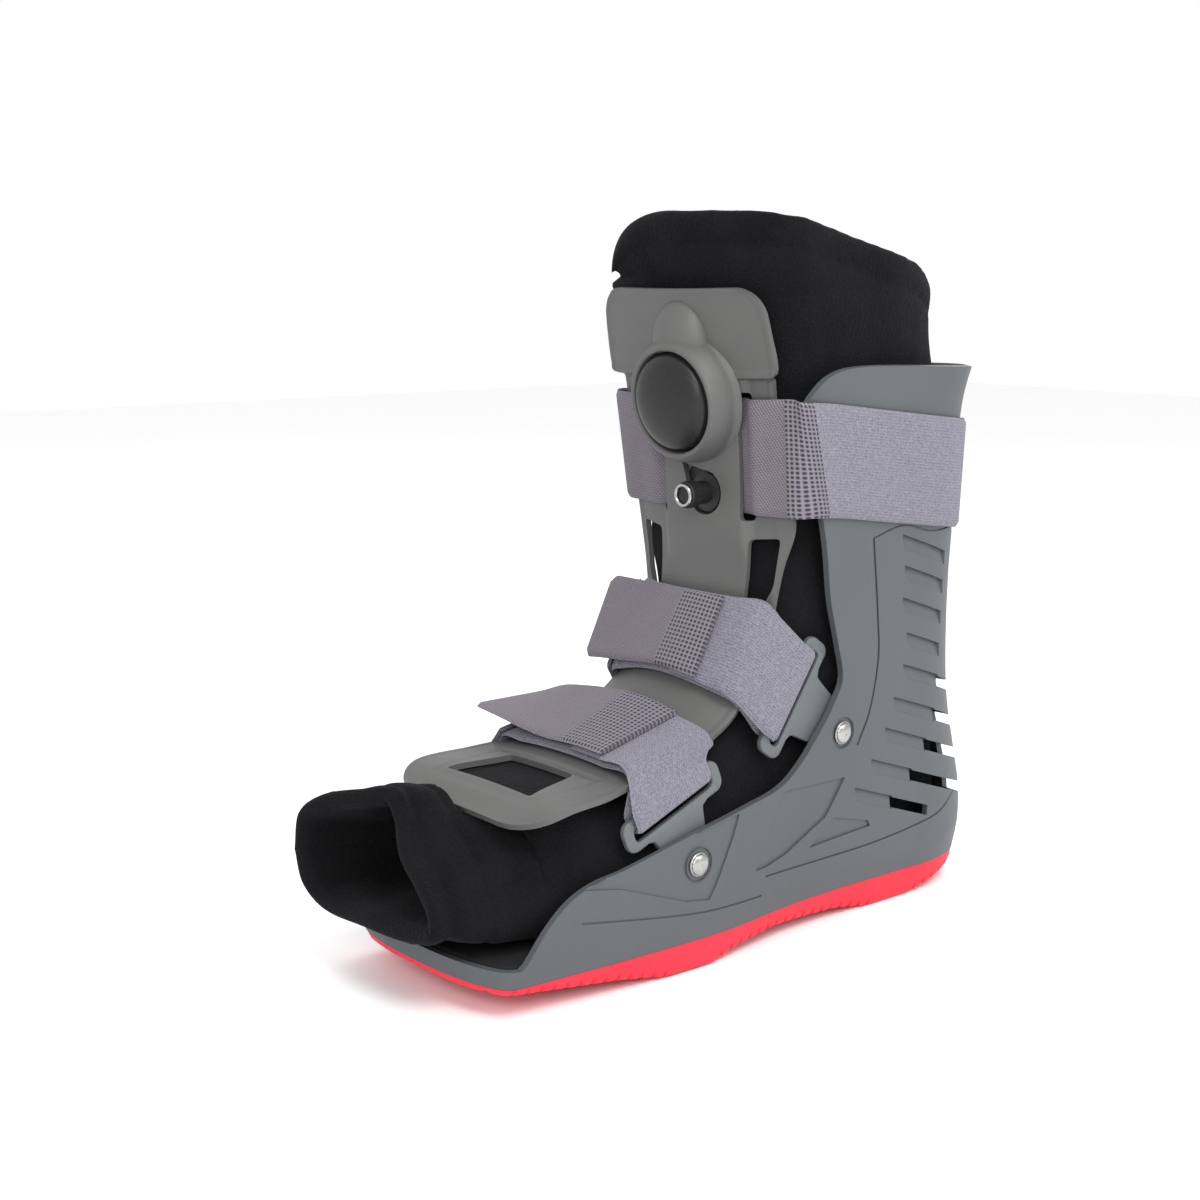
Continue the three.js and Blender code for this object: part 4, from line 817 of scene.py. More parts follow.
def buildSole():
    # Rings across the foot, one at each reach: flat top, rounded rim, underside with cross grooves.
    right = planRing(boot["soleThickness"], boot["soleInset"], sole["outline"])[:sole["outline"]]
    order = np.argsort(right[:, 1])
    reach = np.linspace(right[:, 1].min() + 0.02, right[:, 1].max() - 0.02, sole["along"])
    half = np.interp(reach, right[order, 1], right[order, 0])
    top = boot["soleThickness"] - boot["pieceGap"]
    under = np.interp(-reach / boot["toeReach"], soleProfile["forward"][::-1], soleProfile["height"][::-1])
    under = under * boot["soleThickness"]
    wave = np.abs((reach / sole["treadPitch"]) % 1 - 0.5) * 2
    groove = fade(0.62, 0.9, wave) * sole["treadDepth"] * (under >= sole["flatUnder"])
    lower = under + groove * fade(0, 2.0, top - sole["leastOverTread"] - under)
    share = np.linspace(1, -1, sole["across"])
    share = np.concatenate([[1.0, 1.0], share, [-1.0, -1.0]])
    x = share[None] * np.maximum(half[:, None], 0.05)
    for rim in (2, -3):
        x[:, rim] *= 1 - sole["edgeDraw"] / np.maximum(half, 5)
    z = np.repeat(lower[:, None], len(share), 1)
    z = z + fade(0.93, 1.0, np.abs(share))[None] * sole["rimRound"]
    z[:, 0] = z[:, -1] = top
    z[:, 1] = z[:, -2] = np.minimum(lower + 2 * sole["rimRound"], top - 0.2)
    y = np.repeat(reach[:, None], len(share), 1)
    piece = loftPiece("redOutsole", np.stack([x, y, np.minimum(z, top)], -1), "outsole", "sole_rubber")
    smoothByAngle(piece, 35)
    paint(piece, "sole")


def buildFootbed():
    # A rounded slab between the walls: plan rings drawn in at its top and bottom edges.
    low = boot["soleThickness"] + boot["floorThickness"] + boot["pieceGap"]
    thick = boot["footbedThickness"]
    rings = []
    for z, inset in ((0, 0.8), (0.5, 0), (thick - 1.1, 0), (thick - 0.3, 0.5), (thick, 1.3)):
        ring = planRing(boot["soleThickness"], boot["shellWall"] + 1.2 + inset)
        rings.append(np.concatenate([ring[:, :2], np.full((len(ring), 1), low + z)], 1))
    piece = loftPiece("insoleSheet", rings, "footbed", "insole_foam")
    paint(piece, "insole")


buildSole()
buildFootbed()
print("outsole and footbed made")

# Front panel

panel = {
    "wall": 2.5, "width": 92.0, "reach": 140.0, "top": 273.0, "slotWidth": 6.0, "spineHalf": 21.0,
    "spineOffset": 3.0, "spineRaise": 3.4, "lean": 3.0, "rows": 330, "columns": 120,
    "windowFront": 58.0, "windowBack": 43.0, "windowLength": 27.0, "strapHalf": 26.6,
    "pumpHeight": 228.0, "valveHeight": 188.0, "valveOffset": 5.5, "valveHole": 9.5,
    "bezelBase": 27.5, "bezelRim": 22.6, "bezelDepth": 11.0, "bulbRadius": 21.0, "bulbCrown": 6.0,
    "bulge": 15.0, "topCorner": 12.0, "frontCorner": 19.0, "lipLow": 0.864, "lipHigh": 0.872,
    "valveRadius": 5.7, "valveReach": 12.0, "gasket": 14.0, "washer": 8.2,
    "knobTeeth": 24, "toothDepth": 0.32,
}
panelOutline = table("along half", [
    (0.0, 1.06), (0.04, 1.12), (0.12, 1.09), (0.2, 0.98), (0.28, 0.93), (0.34, 0.88), (0.4, 0.86),
    (0.46, 0.79), (0.52, 0.84), (0.59, 0.92), (0.66, 0.95), (0.75, 0.95), (0.866, 0.95), (0.876, 1.03),
    (0.93, 1.02), (1.0, 0.97),
])
spineLeft = panel["spineOffset"] + panel["spineHalf"]
spineRight = panel["spineOffset"] - panel["spineHalf"]
panelTopStation = stationAtHeight(panel["top"])
onFoot = frontSteps < 0.6 * frontLength
panelFrontStation = float(np.interp(-panel["reach"], frontPoints[onFoot, 1], frontSteps[onFoot]))
windowStation = panelFrontStation + 1.12 * panel["windowLength"]
pumpStation = stationAtHeight(panel["pumpHeight"])
valveStation = stationAtHeight(panel["valveHeight"])
calfStation = stationAtHeight(0.85 * boot["shellTop"])
shinStart = (stationAtHeight(0.5 * boot["linerTop"]), stationAtHeight(0.57 * boot["linerTop"]))


def spineLift(station, x):
    # How far the panel stands off the liner: raised over the spine, from the ankle up.
    outside = np.maximum(np.maximum(x - spineLeft, spineRight - x), 0)
    near = 1 - fade(0, panel["slotWidth"], outside)
    return boot["pieceGap"] + panel["spineRaise"] * near * fade(*shinStart, station)


def panelFrame(station, x):
    # A point on the panel's face, with its upward, outward and sideways directions.
    origin = overFront(station, x, float(spineLift(station, x)) + panel["wall"])
    rise = overFront(station + 1, x, 0) - overFront(station - 1, x, 0)
    rise /= np.linalg.norm(rise)
    sideways = overFront(station, x + 1, 0) - overFront(station, x - 1, 0)
    out = np.cross(sideways, rise)
    out /= np.linalg.norm(out)
    return origin, rise, out, np.cross(rise, out)


def panelRelief(station, x, half):
    # Raised rims and steps of the panel's face, in mm: its border, the window's frame and the lip.
    along = (station - panelFrontStation) / (panelTopStation - panelFrontStation)
    edge = half - np.abs(x + panel["lean"] * fade(0.5, 0.7, along))
    rim = (1 - fade(1.6, 2.6, edge)) * 0.5
    top = (1 - fade(1.5, 2.5, (1 - along) * (panelTopStation - panelFrontStation))) * 0.5
    ahead = np.abs(station - windowStation) - panel["windowLength"] / 2
    around = np.maximum(ahead, np.abs(x) - panel["windowFront"] / 2)
    window = fade(1.0, 2.0, around) * (1 - fade(4.2, 5.2, around)) * -0.6
    lip = fade(0.866, 0.87, along) * (1 - fade(0.878, 0.882, along)) * 0.5
    return rim + top + window + lip


def panelFace():
    # The panel's outer and inner face as grids. Rows close up over the rounded corners, where each
    # end draws in by a quarter circle.
    turn = np.linspace(0.12, np.pi / 2, 16)
    front, top = panel["frontCorner"], panel["topCorner"]
    straight = np.linspace(panelFrontStation + front, panelTopStation - top, panel["rows"])[1:-1]
    rows = np.concatenate([panelFrontStation + front * (1 - np.cos(turn)), straight,
                           panelTopStation - top * (1 - np.cos(turn[::-1]))])
    inset = np.concatenate([front * (1 - np.sin(turn)), np.zeros(len(straight)),
                            top * (1 - np.sin(turn[::-1]))])
    u = ((rows - panelFrontStation) / (panelTopStation - panelFrontStation))[:, None]
    v = np.linspace(-1, 1, panel["columns"])[None]
    half = smooth(panelOutline, "along", "half", u) * panel["width"] / 2 - inset[:, None]
    strip = 1 + 0.14 * np.exp(-((u - 0.66) / 0.05) ** 2) * (v > 0)
    x = v * half * strip - panel["lean"] * fade(0.5, 0.7, u)
    station = np.repeat(rows[:, None], panel["columns"], 1)
    # the upper plate stands as proud as the spine and ends in a lip above the strap's seat
    raised = boot["pieceGap"] + panel["spineRaise"] * fade(panel["lipLow"], panel["lipHigh"], u)
    lift = np.maximum(spineLift(station, x), raised) + panel["wall"]
    lift = lift + panelRelief(station, x, half) * 0.8
    return overFront(station, x, lift), overFront(station, x, lift - panel["wall"])


def panelPrism(corners, station, x, deep):
    # A prism through the panel over corners given as [sideways, upwards] from a point of its face.
    origin, rise, out, sideways = panelFrame(station, x)
    return prism(corners, origin, sideways, rise, out, -deep, deep)


def panelCutters():
    # The strap's two slots, the two ankle windows and the forefoot's window, then the valve's hole.
    w, sh, deep, width = panel["slotWidth"] / 2, panel["strapHalf"], 4 * panel["wall"], panel["width"]
    ankle = [(-0.015, 0.17), (0.15, 0.19), (0.125, -0.03), (0.03, -0.2), (-0.03, -0.17)]
    ankleStation = stationAtHeight(0.505 * boot["linerTop"])
    cutters = []
    for side in (-1, 1):
        slotX = spineLeft + w if side > 0 else spineRight - w
        slot = roundedCorners([(-w, -sh), (w, -sh), (w, sh), (-w, sh)])
        cutters.append(panelPrism(slot, calfStation, slotX, deep))
        corners = roundedCorners([(side * a * width, b * width) for a, b in ankle][::side])
        cutters.append(panelPrism(corners, ankleStation, side * 0.31 * width, deep))
    front, back, length = panel["windowFront"] / 2, panel["windowBack"] / 2, panel["windowLength"] / 2
    window = roundedCorners([(-front, -length), (front, -length), (back, length), (-back, length)])
    cutters.append(panelPrism(window, windowStation, 0, deep))
    turn = np.linspace(0, 2 * np.pi, 48, endpoint=False)
    hole = np.stack([np.cos(turn), np.sin(turn)], -1) * panel["valveHole"]
    return cutters + [panelPrism(hole, valveStation, panel["valveOffset"], deep)]


def buildPanel():
    # Two joined layers with their holes cut, then the pump's housing.
    layers = panelFace()
    count, across = layers[0].shape[:2]
    faces = gridFaces(count, across) + gridFaces(count, across, start=count * across)
    index = np.arange(count * across).reshape(count, across)
    edge = np.concatenate([index[0], index[1:, -1], index[-1, :-1][::-1], index[1:-1, 0][::-1]])
    after = np.roll(edge, -1)
    faces += np.stack([edge, after, after + count * across, edge + count * across], -1).tolist()
    piece = meshPiece("panelMoulding", np.stack(layers).reshape(-1, 3), faces)
    tidyNormals(piece)
    cutWith(piece, panelCutters(), "panelCuts")
    tip = np.array([(-1.35, 1.28), (-0.95, -0.1), (0.62, 0.86)]) * panel["valveHole"]
    cutWith(piece, [panelPrism(tip, valveStation, panel["valveOffset"], 11)], "holeTipCut")
    joinInto(piece, *pumpHousing())
    smoothByAngle(piece, 38)
    dress(piece, "front_panel")
    paint(piece, "panel")


def roundedCorners(corners, radius=2.2, steps=5):
    # Each corner becomes a short parabola between points a radius away along its two edges.
    corners = np.asarray(corners, float)
    made = []
    for before, corner, after in zip(np.roll(corners, 1, 0), corners, np.roll(corners, -1, 0)):
        reach = min(radius, np.linalg.norm(before - corner) * 0.45, np.linalg.norm(after - corner) * 0.45)
        a = corner + (before - corner) / np.linalg.norm(before - corner) * reach
        b = corner + (after - corner) / np.linalg.norm(after - corner) * reach
        for t in np.linspace(0, 1, steps):
            made.append((1 - t) ** 2 * a + 2 * t * (1 - t) * corner + t * t * b)
    return np.array(made)


def pumpHousing():
    # The round bezel that holds the bulb, and the bulge above it: a dome that sinks into the panel.
    origin, rise, out = panelFrame(pumpStation, 0)[:3]
    depth, rim, base = panel["bezelDepth"], panel["bezelRim"], panel["bezelBase"]
    inner = panel["bulbRadius"] + boot["pieceGap"]
    profile = [(inner, -1.8), (base + 1.6, -1.8), (base + 1.0, -0.6), (base, 0.8), (base - 0.8, 0.4 * depth),
               (base - 2.2, 0.75 * depth), (rim + 1.4, 0.93 * depth), (rim + 0.5, depth), (rim - 0.5, depth),
               (inner + 0.2, depth - 0.5), (inner, depth - 1.2)]
    rings = lathe(catmull(np.array([(r, h, 0) for r, h in profile]), 60)[:, :2], origin, out)
    bezel = meshPiece("pumpBezel", rings.reshape(-1, 3), ringFaces(60, 96, wrapRows=True))
    tidyNormals(bezel)
    angle = np.linspace(-0.12, np.pi / 2, 30)
    dome = np.stack([np.cos(angle) * panel["bulge"], np.sin(angle) * depth * 0.85], -1)
    dome = lathe(dome, np.zeros(3), out)
    along = (dome @ rise)[..., None] * rise * 0.22
    dome = dome + along + origin + rise * rim
    bulge = meshPiece("pumpBulge", dome.reshape(-1, 3), ringFaces(30, 96))
    tidyNormals(bulge)
    addModifier(bulge, "SOLIDIFY", thickness=0.0015, offset=-1)
    applyModifiers(bulge)
    room = panel["bulbRadius"] + 0.1
    core = lathe([(0.01, -12), (room, -12), (room, 24), (0.01, 24)], origin, out)
    cutWith(bulge, [(core.reshape(-1, 3), ringFaces(4, 96, wrapRows=True))], "bulbRoom")
    return bezel, bulge


def buildBulb():
    # A low cylinder under a dome, both turned about the pump's axis.
    origin, _, out = panelFrame(pumpStation, 0)[:3]
    radius, depth, crown = panel["bulbRadius"], panel["bezelDepth"], panel["bulbCrown"]
    seat = 3 * boot["pieceGap"]
    angle = np.linspace(0, np.pi / 2, 26)
    profile = [(0.01, seat), (radius - 0.2, seat), (radius - 0.2, depth - 2.2), (radius - 0.9, depth - 1.2)]
    domeRadius = np.maximum((radius - 1.0) * np.cos(angle) ** 0.9, 0.01)
    profile += np.stack([domeRadius, depth - 1.0 + (crown + 0.5) * np.sin(angle)], -1).tolist()
    turnedPiece("pumpBulbCap", profile, origin, out, 96, "pump_bulb", "pump_rubber", "bulb", 40)


def buildValve():
    # A gasket disc, a washer and the knob with its knurled head, then the bright ring in its face.
    out = panelFrame(valveStation, panel["valveOffset"])[2]
    seat = 3 * boot["pieceGap"] + panel["wall"]
    origin = overFront(valveStation, panel["valveOffset"], seat)
    radius, reach, gasket, washer = (panel[k] for k in ("valveRadius", "valveReach", "gasket", "washer"))
    length = boot["pieceGap"] + panel["spineRaise"] + panel["wall"] + reach - seat
    profile = [
        (0.01, -0.9), (gasket, -0.9), (gasket, -0.15), (washer, -0.1), (washer, length - reach - 0.8),
        (radius * 0.85, length - reach), (radius * 0.85, length * 0.6), (radius * 0.97, length * 0.63),
        (radius, length * 0.66), (radius, length - 1.2), (radius * 0.97, length - 0.5),
        (radius * 0.88, length), (0.01, length - 0.2),
    ]
    segments = 6 * panel["knobTeeth"]
    rings = lathe(profile, origin, out, segments)
    teeth = (np.arange(segments) % 6 < 3) * panel["toothDepth"]
    spoke = rings - (origin + ((rings - origin) @ out)[..., None] * out)
    for row in (8, 9):
        rings[row] -= spoke[row] / radius * teeth[:, None]
    piece = meshPiece("releaseKnob", rings.reshape(-1, 3), ringFaces(len(profile), segments),
                      "valve_body", "valve_plastic")
    tidyNormals(piece)
    smoothByAngle(piece, 30)
    paint(piece, "knob")
    inner, outer, base = radius * 0.62, radius * 0.86, length + boot["pieceGap"]
    ring = [(inner, base), (outer, base), (outer, base + 0.45), (outer - 0.25, base + 0.8),
            (inner + 0.25, base + 0.8), (inner, base + 0.45)]
    turnedPiece("releaseKnobRing", ring, origin, out, 96, "valve_ring", "rivet_steel", "steel", 30, True)


buildPanel()
buildBulb()
buildValve()
print("panel, pump and valve made")

# Loop plates and rivets

plate = {
    "thickness": 3.0, "slotWidth": 6.0, "bar": 4.4, "clearance": 1.0, "rim": 6.0, "tailShare": 0.32,
    "bottom": -8.5, "corner": 4.5, "headRadius": 5.0, "headHeight": 2.4, "shaftRadius": 2.2,
}
plateSeat = boot["shellWall"] + plate["clearance"] + plate["thickness"]
strap = {"thickness": 2.0, "calfWidth": 48.0, "footWidth": 42.0, "pressed": 0.96, "netPuff": 0.35}


def arcPoints(cx, cy, radius, start, end, steps=7):
    # Points on an arc of a circle.
    turn = np.linspace(start, end, steps)
    return list(zip(cx + radius * np.cos(turn), cy + radius * np.sin(turn)))


def plateOutline(length):
    # Half a plate from the bar's end down to the rivet's lug, then the other half mirrored.
    head, tail = strap["footWidth"] / 2 + plate["rim"], plate["tailShare"] * strap["footWidth"]
    top = length + plate["bar"] / 2
    low = length - plate["bar"] / 2 - plate["slotWidth"] - 3.4
    bottom, r, q = plate["bottom"], plate["corner"], np.pi / 2
    right = arcPoints(head - r, top - r, r, q, 0) + arcPoints(head - r, low + r, r, 0, -q)
    right += [(tail + 3, low), (tail + 0.8, low - 1), (tail, low - 3)]
    right += [(tail - 5, bottom + 3), (tail - 6.6, bottom + 0.8), (tail - 9, bottom)]
    return np.array(right + [(-x, y) for x, y in right[::-1]])


def buildLoop(name, word, side):
    # A flat plate with a slot, its edges bevelled, stood inside the wall.
    origin, out, rise, along, length = plateFrame(name, side)
    sheet = prism(plateOutline(length), origin, along, rise, out, -plateSeat, plate["thickness"] - plateSeat)
    body = meshPiece(name + word + "Loop", *sheet)
    tidyNormals(body)
    half, top = strap["footWidth"] / 2 + 1, length - plate["bar"] / 2
    slot = [(-half, top - plate["slotWidth"]), (half, top - plate["slotWidth"]), (half, top), (-half, top)]
    cutWith(body, [prism(roundedCorners(slot, 2.5), origin, along, rise, out, -20, 20)], "loopCuts")
    addModifier(body, "BEVEL", width=0.0008, segments=3, limit_method="ANGLE", angle_limit=0.9)
    applyModifiers(body)
    smoothByAngle(body, 40)
    dress(body, name + "_loop_" + word)
    paint(body, "loop")


def buildRivet(name, word, side):
    # A low dome with a turned ring at its foot and a small dimple in its crown.
    origin, out = plateFrame(name, side)[:2]
    seat = boot["pieceGap"] - 0.8
    radius, height, shaft = plate["headRadius"], plate["headHeight"], plate["shaftRadius"]
    angle = np.linspace(0, np.pi / 2, 18)
    dome = [np.maximum(radius * 0.86 * np.cos(angle), 0.01), seat + 0.9 + (height - 0.9) * np.sin(angle)]
    dome = np.stack(dome, -1)
    dome[-3:, 1] -= np.array([0.05, 0.2, 0.3])
    profile = [
        (0.01, -plateSeat + 0.2), (radius * 0.8, -plateSeat + 0.2), (radius * 0.8, -plateSeat + 0.8),
        (shaft, -plateSeat + 0.85), (shaft, seat), (radius, seat), (radius, seat + 0.5),
        (radius * 0.93, seat + 0.8), (radius * 0.88, seat + 0.7),
    ] + dome.tolist()
    node = name + "_rivet_" + word
    turnedPiece(name + word + "Rivet", profile, origin, out, 48, node, "rivet_steel", "steel", 35)


for name in rivetPlaces:
    for word, side in (("left", 1), ("right", -1)):
        buildLoop(name, word, side)
        buildRivet(name, word, side)
print("loop plates and rivets made")

# Straps

layerLift = boot["pieceGap"] + strap["thickness"] / 2
foldLift = strap["thickness"] + 3 * boot["pieceGap"]
overPanel = boot["pieceGap"] + panel["wall"] + layerLift + 0.45
# Where the straps and tabs pass over the panel, as shares of halfFoot; a tab's rows also have their rise
lowerRows = {
    "ankle": (0.69, 0.44, 0.15, -0.15, -0.44, -0.69),
    "forefoot": (0.79, 0.5, 0.2, -0.2, -0.5, -0.79),
}
upperLeft = {"ankle": (0.15, 0.42, 0.67), "forefoot": (0.15, 0.48, 0.76)}
upperRight = {"ankle": (-0.69,), "forefoot": (-0.79,)}
strapHeight = {"ankle": 0.412, "forefoot": 0.292}
tabRows = {
    "ankle": [(0.4, 1.1), (0.2, 1.1), (0.05, 0.9), (-0.15, 0.4), (-0.4, 0.9), (-0.62, 2.6), (-0.78, 4.4)],
    "forefoot": [(0.5, 1.1), (0.3, 1.1), (0.1, 0.9), (-0.15, 0.6), (-0.45, 1.4), (-0.7, 2.8), (-1.02, 4.8)],
}


def wrapPoints(halfBar, halfWall):
    # Five points round a bar, from its outer face to its inner one.
    far, side = halfBar + layerLift + 0.3, halfWall + layerLift + 0.3
    a, b = far - 0.55, side - 0.55
    return [(-0.5, side), (a, b), (far + 0.1, 0), (a, -b), (-0.5, -side)]


def barPoints(name, side, v):
    # The strap's way round one loop plate's bar, at the share v of its width.
    origin, out, rise, along, length = plateFrame(name, side)
    shifted = origin + along * side * (v - 0.5) * strap["footWidth"]
    middle = plate["thickness"] / 2 - plateSeat
    at = lambda a, b: shifted + rise * (length - a) + out * (middle + b)
    wrap = wrapPoints(plate["bar"] / 2, plate["thickness"] / 2)
    outer, inner = plate["bar"] / 2 + 3, plate["bar"] / 2 + 0.7
    return [at(-outer, wrap[0][1]), *[at(a, b) for a, b in wrap], at(-inner, -wrap[0][1])]


def footStation(name, v):
    # The station of a foot strap at the share v of its width.
    return stationAtHeight(strapHeight[name] * boot["linerTop"]) + (v - 0.5) * strap["footWidth"]


def footStrapWay(name, v):
    # From the return layer's end round the left bar, over the foot, round the right bar and back.
    over = lambda share, lift: overFront(footStation(name, v), share * halfFoot, overPanel + lift)
    way = [over(share, foldLift + max(share - 0.5, 0)) for share in upperLeft[name]]
    way += barPoints(name, 1, v)
    way += [over(share, max(abs(share) - 0.5, 0)) for share in lowerRows[name]]
    way += barPoints(name, -1, v)[::-1]
    return way + [over(share, foldLift + max(-share - 0.5, 0)) for share in upperRight[name]]


def tabWay(name, v):
    # The loose end lies on the strap and lifts off towards its tip.
    step = strap["thickness"] + boot["pieceGap"]
    station, low = footStation(name, v), overPanel + foldLift
    return [overFront(station, share * halfFoot, low + up * step) for share, up in tabRows[name]]


def wallFrontReach(z):
    # The reach of the wing's front edge at a height.
    wing = slice(12, 16)
    heights = wallEdge["height"][wing] * boot["shellTop"]
    return float(hermite(heights, -wallEdge["forward"][wing] * boot["toeReach"], z))


def besideCalf(y, z, offset, side):
    # As besideFace for one point, with the offset kept even round the heel.
    heelStart = float(rearReach(z)) - heelDepth
    if y <= heelStart:
        return np.array([side * (halfWidth(y, z) + offset), y, z])
    sine = min((y - heelStart) / heelDepth, 0.999) ** (boot["heelPower"] / 2)
    radius = halfWidth(heelStart, z) + offset
    return np.array([side * radius * math.cos(math.asin(sine)) ** (2 / boot["heelPower"]),
                     heelStart + (heelDepth + offset) * sine ** (2 / boot["heelPower"]), z])


def calfHalf(side, v):
    # From behind the spine through the panel's slot, outside the wing to its slot, and back inside.
    move = (v - 0.5) * strap["calfWidth"]
    front, rear = 0.85 * boot["shellTop"], shell["strapRear"] * boot["shellTop"]
    start, slot = wallFrontReach(front + move), shell["slotReach"] * boot["heelReach"]
    level = lambda y: front + (rear - front) * min(max((y - start) / (slot - start), 0), 1) + move
    by = lambda y, offset: besideCalf(y, level(y), offset, side)
    over = lambda x, lift: overFront(calfStation + move, side * x, lift)
    spine = spineLeft if side > 0 else -spineRight
    w, wide = panel["slotWidth"], panel["width"]
    outside, inside = layerLift + 0.35, -boot["shellWall"] - layerLift - 0.5
    reaches = [start + (slot - start) * s for s in (0.12, 0.3, 0.5, 0.7, 0.86)]
    turn = wrapPoints(3.6, boot["shellWall"] / 2)[1:-1]
    way = [
        over(spine * 0.6, boot["pieceGap"] + layerLift), over(spine - 1, layerLift),
        over(spine + w * 0.6, boot["pieceGap"] + layerLift + 0.8), over(spine + w + 1.5, overPanel + 0.4),
        over((spine + wide / 2) / 2 + 3, overPanel + 0.3),
        over(wide / 2 + panel["lean"] + 1.5, overPanel + 0.6),
        by(start - 6, outside + 0.5), *[by(y, outside) for y in reaches], by(slot - 1, outside),
        *[by(slot + a, b - boot["shellWall"] / 2) for a, b in turn], by(slot - 1, inside),
    ]
    return way + [by(y, inside) for y in reaches[::-1][:-1]]


def evenBand(low, high, columns):
    # The two edges of a band, sampled evenly along its middle, with the length reached at each step.
    a, b = catmull(low, columns), catmull(high, columns)
    steps = np.linalg.norm(np.diff((a + b) / 2, axis=0), axis=1)
    length = np.concatenate([[0], np.cumsum(steps)])
    share = np.linspace(0, length[-1], columns)
    a, b = (np.stack([np.interp(share, length, edge[:, k]) for k in range(3)], -1) for edge in (a, b))
    return a, b, share


def strapPiece(name, low, high, node, zones, columns=420, roundEnd=False, puff=0.0):
    # A band between two curves: a flat superellipse ring carried along them. u is the length along
    # the band and v the way across, both in metres, for the weave. zones are (from, to, finish) shares.
    a, b, share = evenBand(low, high, columns)
    wide = np.linalg.norm(b - a, axis=1)
    across = (b - a) / wide[:, None]
    along = np.gradient((a + b) / 2, axis=0)
    normal = np.cross(along, across)
    normal /= np.linalg.norm(normal, axis=1, keepdims=True)
    flat = np.concatenate([np.linspace(1, -1, 25), np.linspace(-1, 1, 25)])
    thick = np.concatenate([np.ones(25), -np.ones(25)]) * strap["thickness"] / 2
    thick = thick * np.clip(1 - np.abs(flat) ** 30, 0, 1) ** 0.5 * strap["pressed"]
    size = len(flat)
    narrow = np.ones(columns)
    if roundEnd:
        left = share[-1] - share
        narrow = np.sqrt(np.clip(1 - np.clip(1 - left / 4.0, 0, 1) ** 2.4, 0.12, 1))
        narrow = 1 - (1 - narrow) * 0.16
    part, soft = share / share[-1], 0.004
    spread = np.zeros(columns)
    for start, end, finish in zones:
        if finish == "net":
            spread = np.maximum(spread, fade(start - soft, start, part) * (1 - fade(end, end + soft, part)))
    centre = (a + b) / 2 + normal * (puff * spread)[:, None]
    rings = centre[:, None] + across[:, None] * (flat * 0.5)[None, :, None] * (wide * narrow)[:, None, None]
    rings = rings + normal[:, None] * thick[None, :, None]
    uv = np.broadcast_arrays(share[:, None] * 0.001, (flat * 0.5)[None] * wide[:, None] * 0.001)
    ends = [list(range(size))[::-1], [(columns - 1) * size + i for i in range(size)]]
    faces = gridFaces(columns, size, wrapColumns=True) + ends
    uv = np.stack(uv, -1).reshape(-1, 2)
    piece = meshPiece(name, rings.reshape(-1, 3), faces, node, "strap_webbing", uv=uv)
    names = ["twill", "net", "fluff"]
    place = np.repeat((share[:-1] + share[1:]) / 2 / share[-1], size)
    index = np.zeros(len(place), np.int32)
    for start, end, finish in zones:
        index[(place >= start) & (place < end)] = names.index(finish)
    index = np.concatenate([index, [index[0], index[-1]]])
    paint(piece, *names)
    piece.data.polygons.foreach_set("material_index", index)
    tidyNormals(piece, 0)
    smoothByAngle(piece, 50)
    return piece, (float(wide.mean()) * 0.001, share[-1] * 0.001)


def buildStraps():
    # Each foot strap with its loose end, then the calf strap from its two halves.
    for name in rivetPlaces:
        way = [footStrapWay(name, v) for v in (0, 1)]
        piece, flat = strapPiece(name + "Strap", *way, name + "_strap", [(0, 1, "fluff")])
        way = [tabWay(name, v) for v in (0, 1)]
        zones = [(0, 0.3, "net")]
        piece, flat = strapPiece(name + "StrapTab", *way, name + "_tab", zones, 240, roundEnd=True)
    halves = [[calfHalf(side, v) for v in (0, 1)] for side in (-1, 1)]
    way = [halves[0][v][::-1] + halves[1][v] for v in (0, 1)]
    zones = [(0, 0.37, "fluff"), (0.37, 0.4, "net"), (0.6, 0.63, "net"), (0.63, 1, "fluff")]
    piece, flat = strapPiece("calfStrap", *way, "calf_strap", zones, 900, puff=strap["netPuff"])


buildStraps()
print("straps made")

# Liner

liner = {
    "voxel": 0.0022, "smooth": 34, "puff": 0.7, "wrinkle": 0.6, "toeCut": -128.0, "sleeveBack": -112.0,
    "rimRound": 3.7, "around": 220, "frontCorner": 20.0, "sleeveMiddle": (-6.0, 50.0), "cornerTurn": 52.0,
    "shaftFrom": 200.0, "flare": 6.0, "rightBulge": 13.0, "leftBulge": 4.0, "instepRise": 12.0,
    "lowest": 20.8,
}
linerRim = table("forward height", [
    (0.4, 1.0), (0.13, 1.0), (0.0, 0.988), (-0.13, 0.968), (-0.27, 0.948), (-0.39, 0.932), (-0.52, 0.9),
    (-0.62, 0.872), (-0.8, 0.86),
])
# The toe sleeve's collapsed mouth as [x, y, z], from the far side over the top and down the flap's edge
mouthPoints = [
    (-53, -180, 50), (-49, -180, 66), (-36, -178, 75), (-18, -172, 80), (-4, -166, 82), (4, -165, 73),
    (10, -167, 61), (24, -169, 52), (36, -171, 42), (37, -172, 33), (20, -173, 28), (-10, -175, 27),
    (-38, -177, 28), (-49, -179, 36),
]


def creased(points):
    # Padding: soft crossing waves along the normals, stronger where the ankle bends and over the free cloth.
    x, y, z = points.T
    bend = np.exp(-((z - 108) / 30) ** 2) + 0.35 * np.exp(-((y + 110) / 30) ** 2)
    folds = np.sin(z * 0.33 + y * 0.12 + 1.3 * np.sin(x * 0.08)) * bend
    lumps = np.sin(x * 0.11 + 1.0) * np.sin(y * 0.09 + 0.4) * np.sin(z * 0.08 + 0.7)
    free = np.clip(0.25 + fade(panel["top"] - 6, panel["top"] + 10, z) + fade(0, 30, y), 0, 1)
    return (folds * liner["wrinkle"] + lumps * liner["puff"]) * free


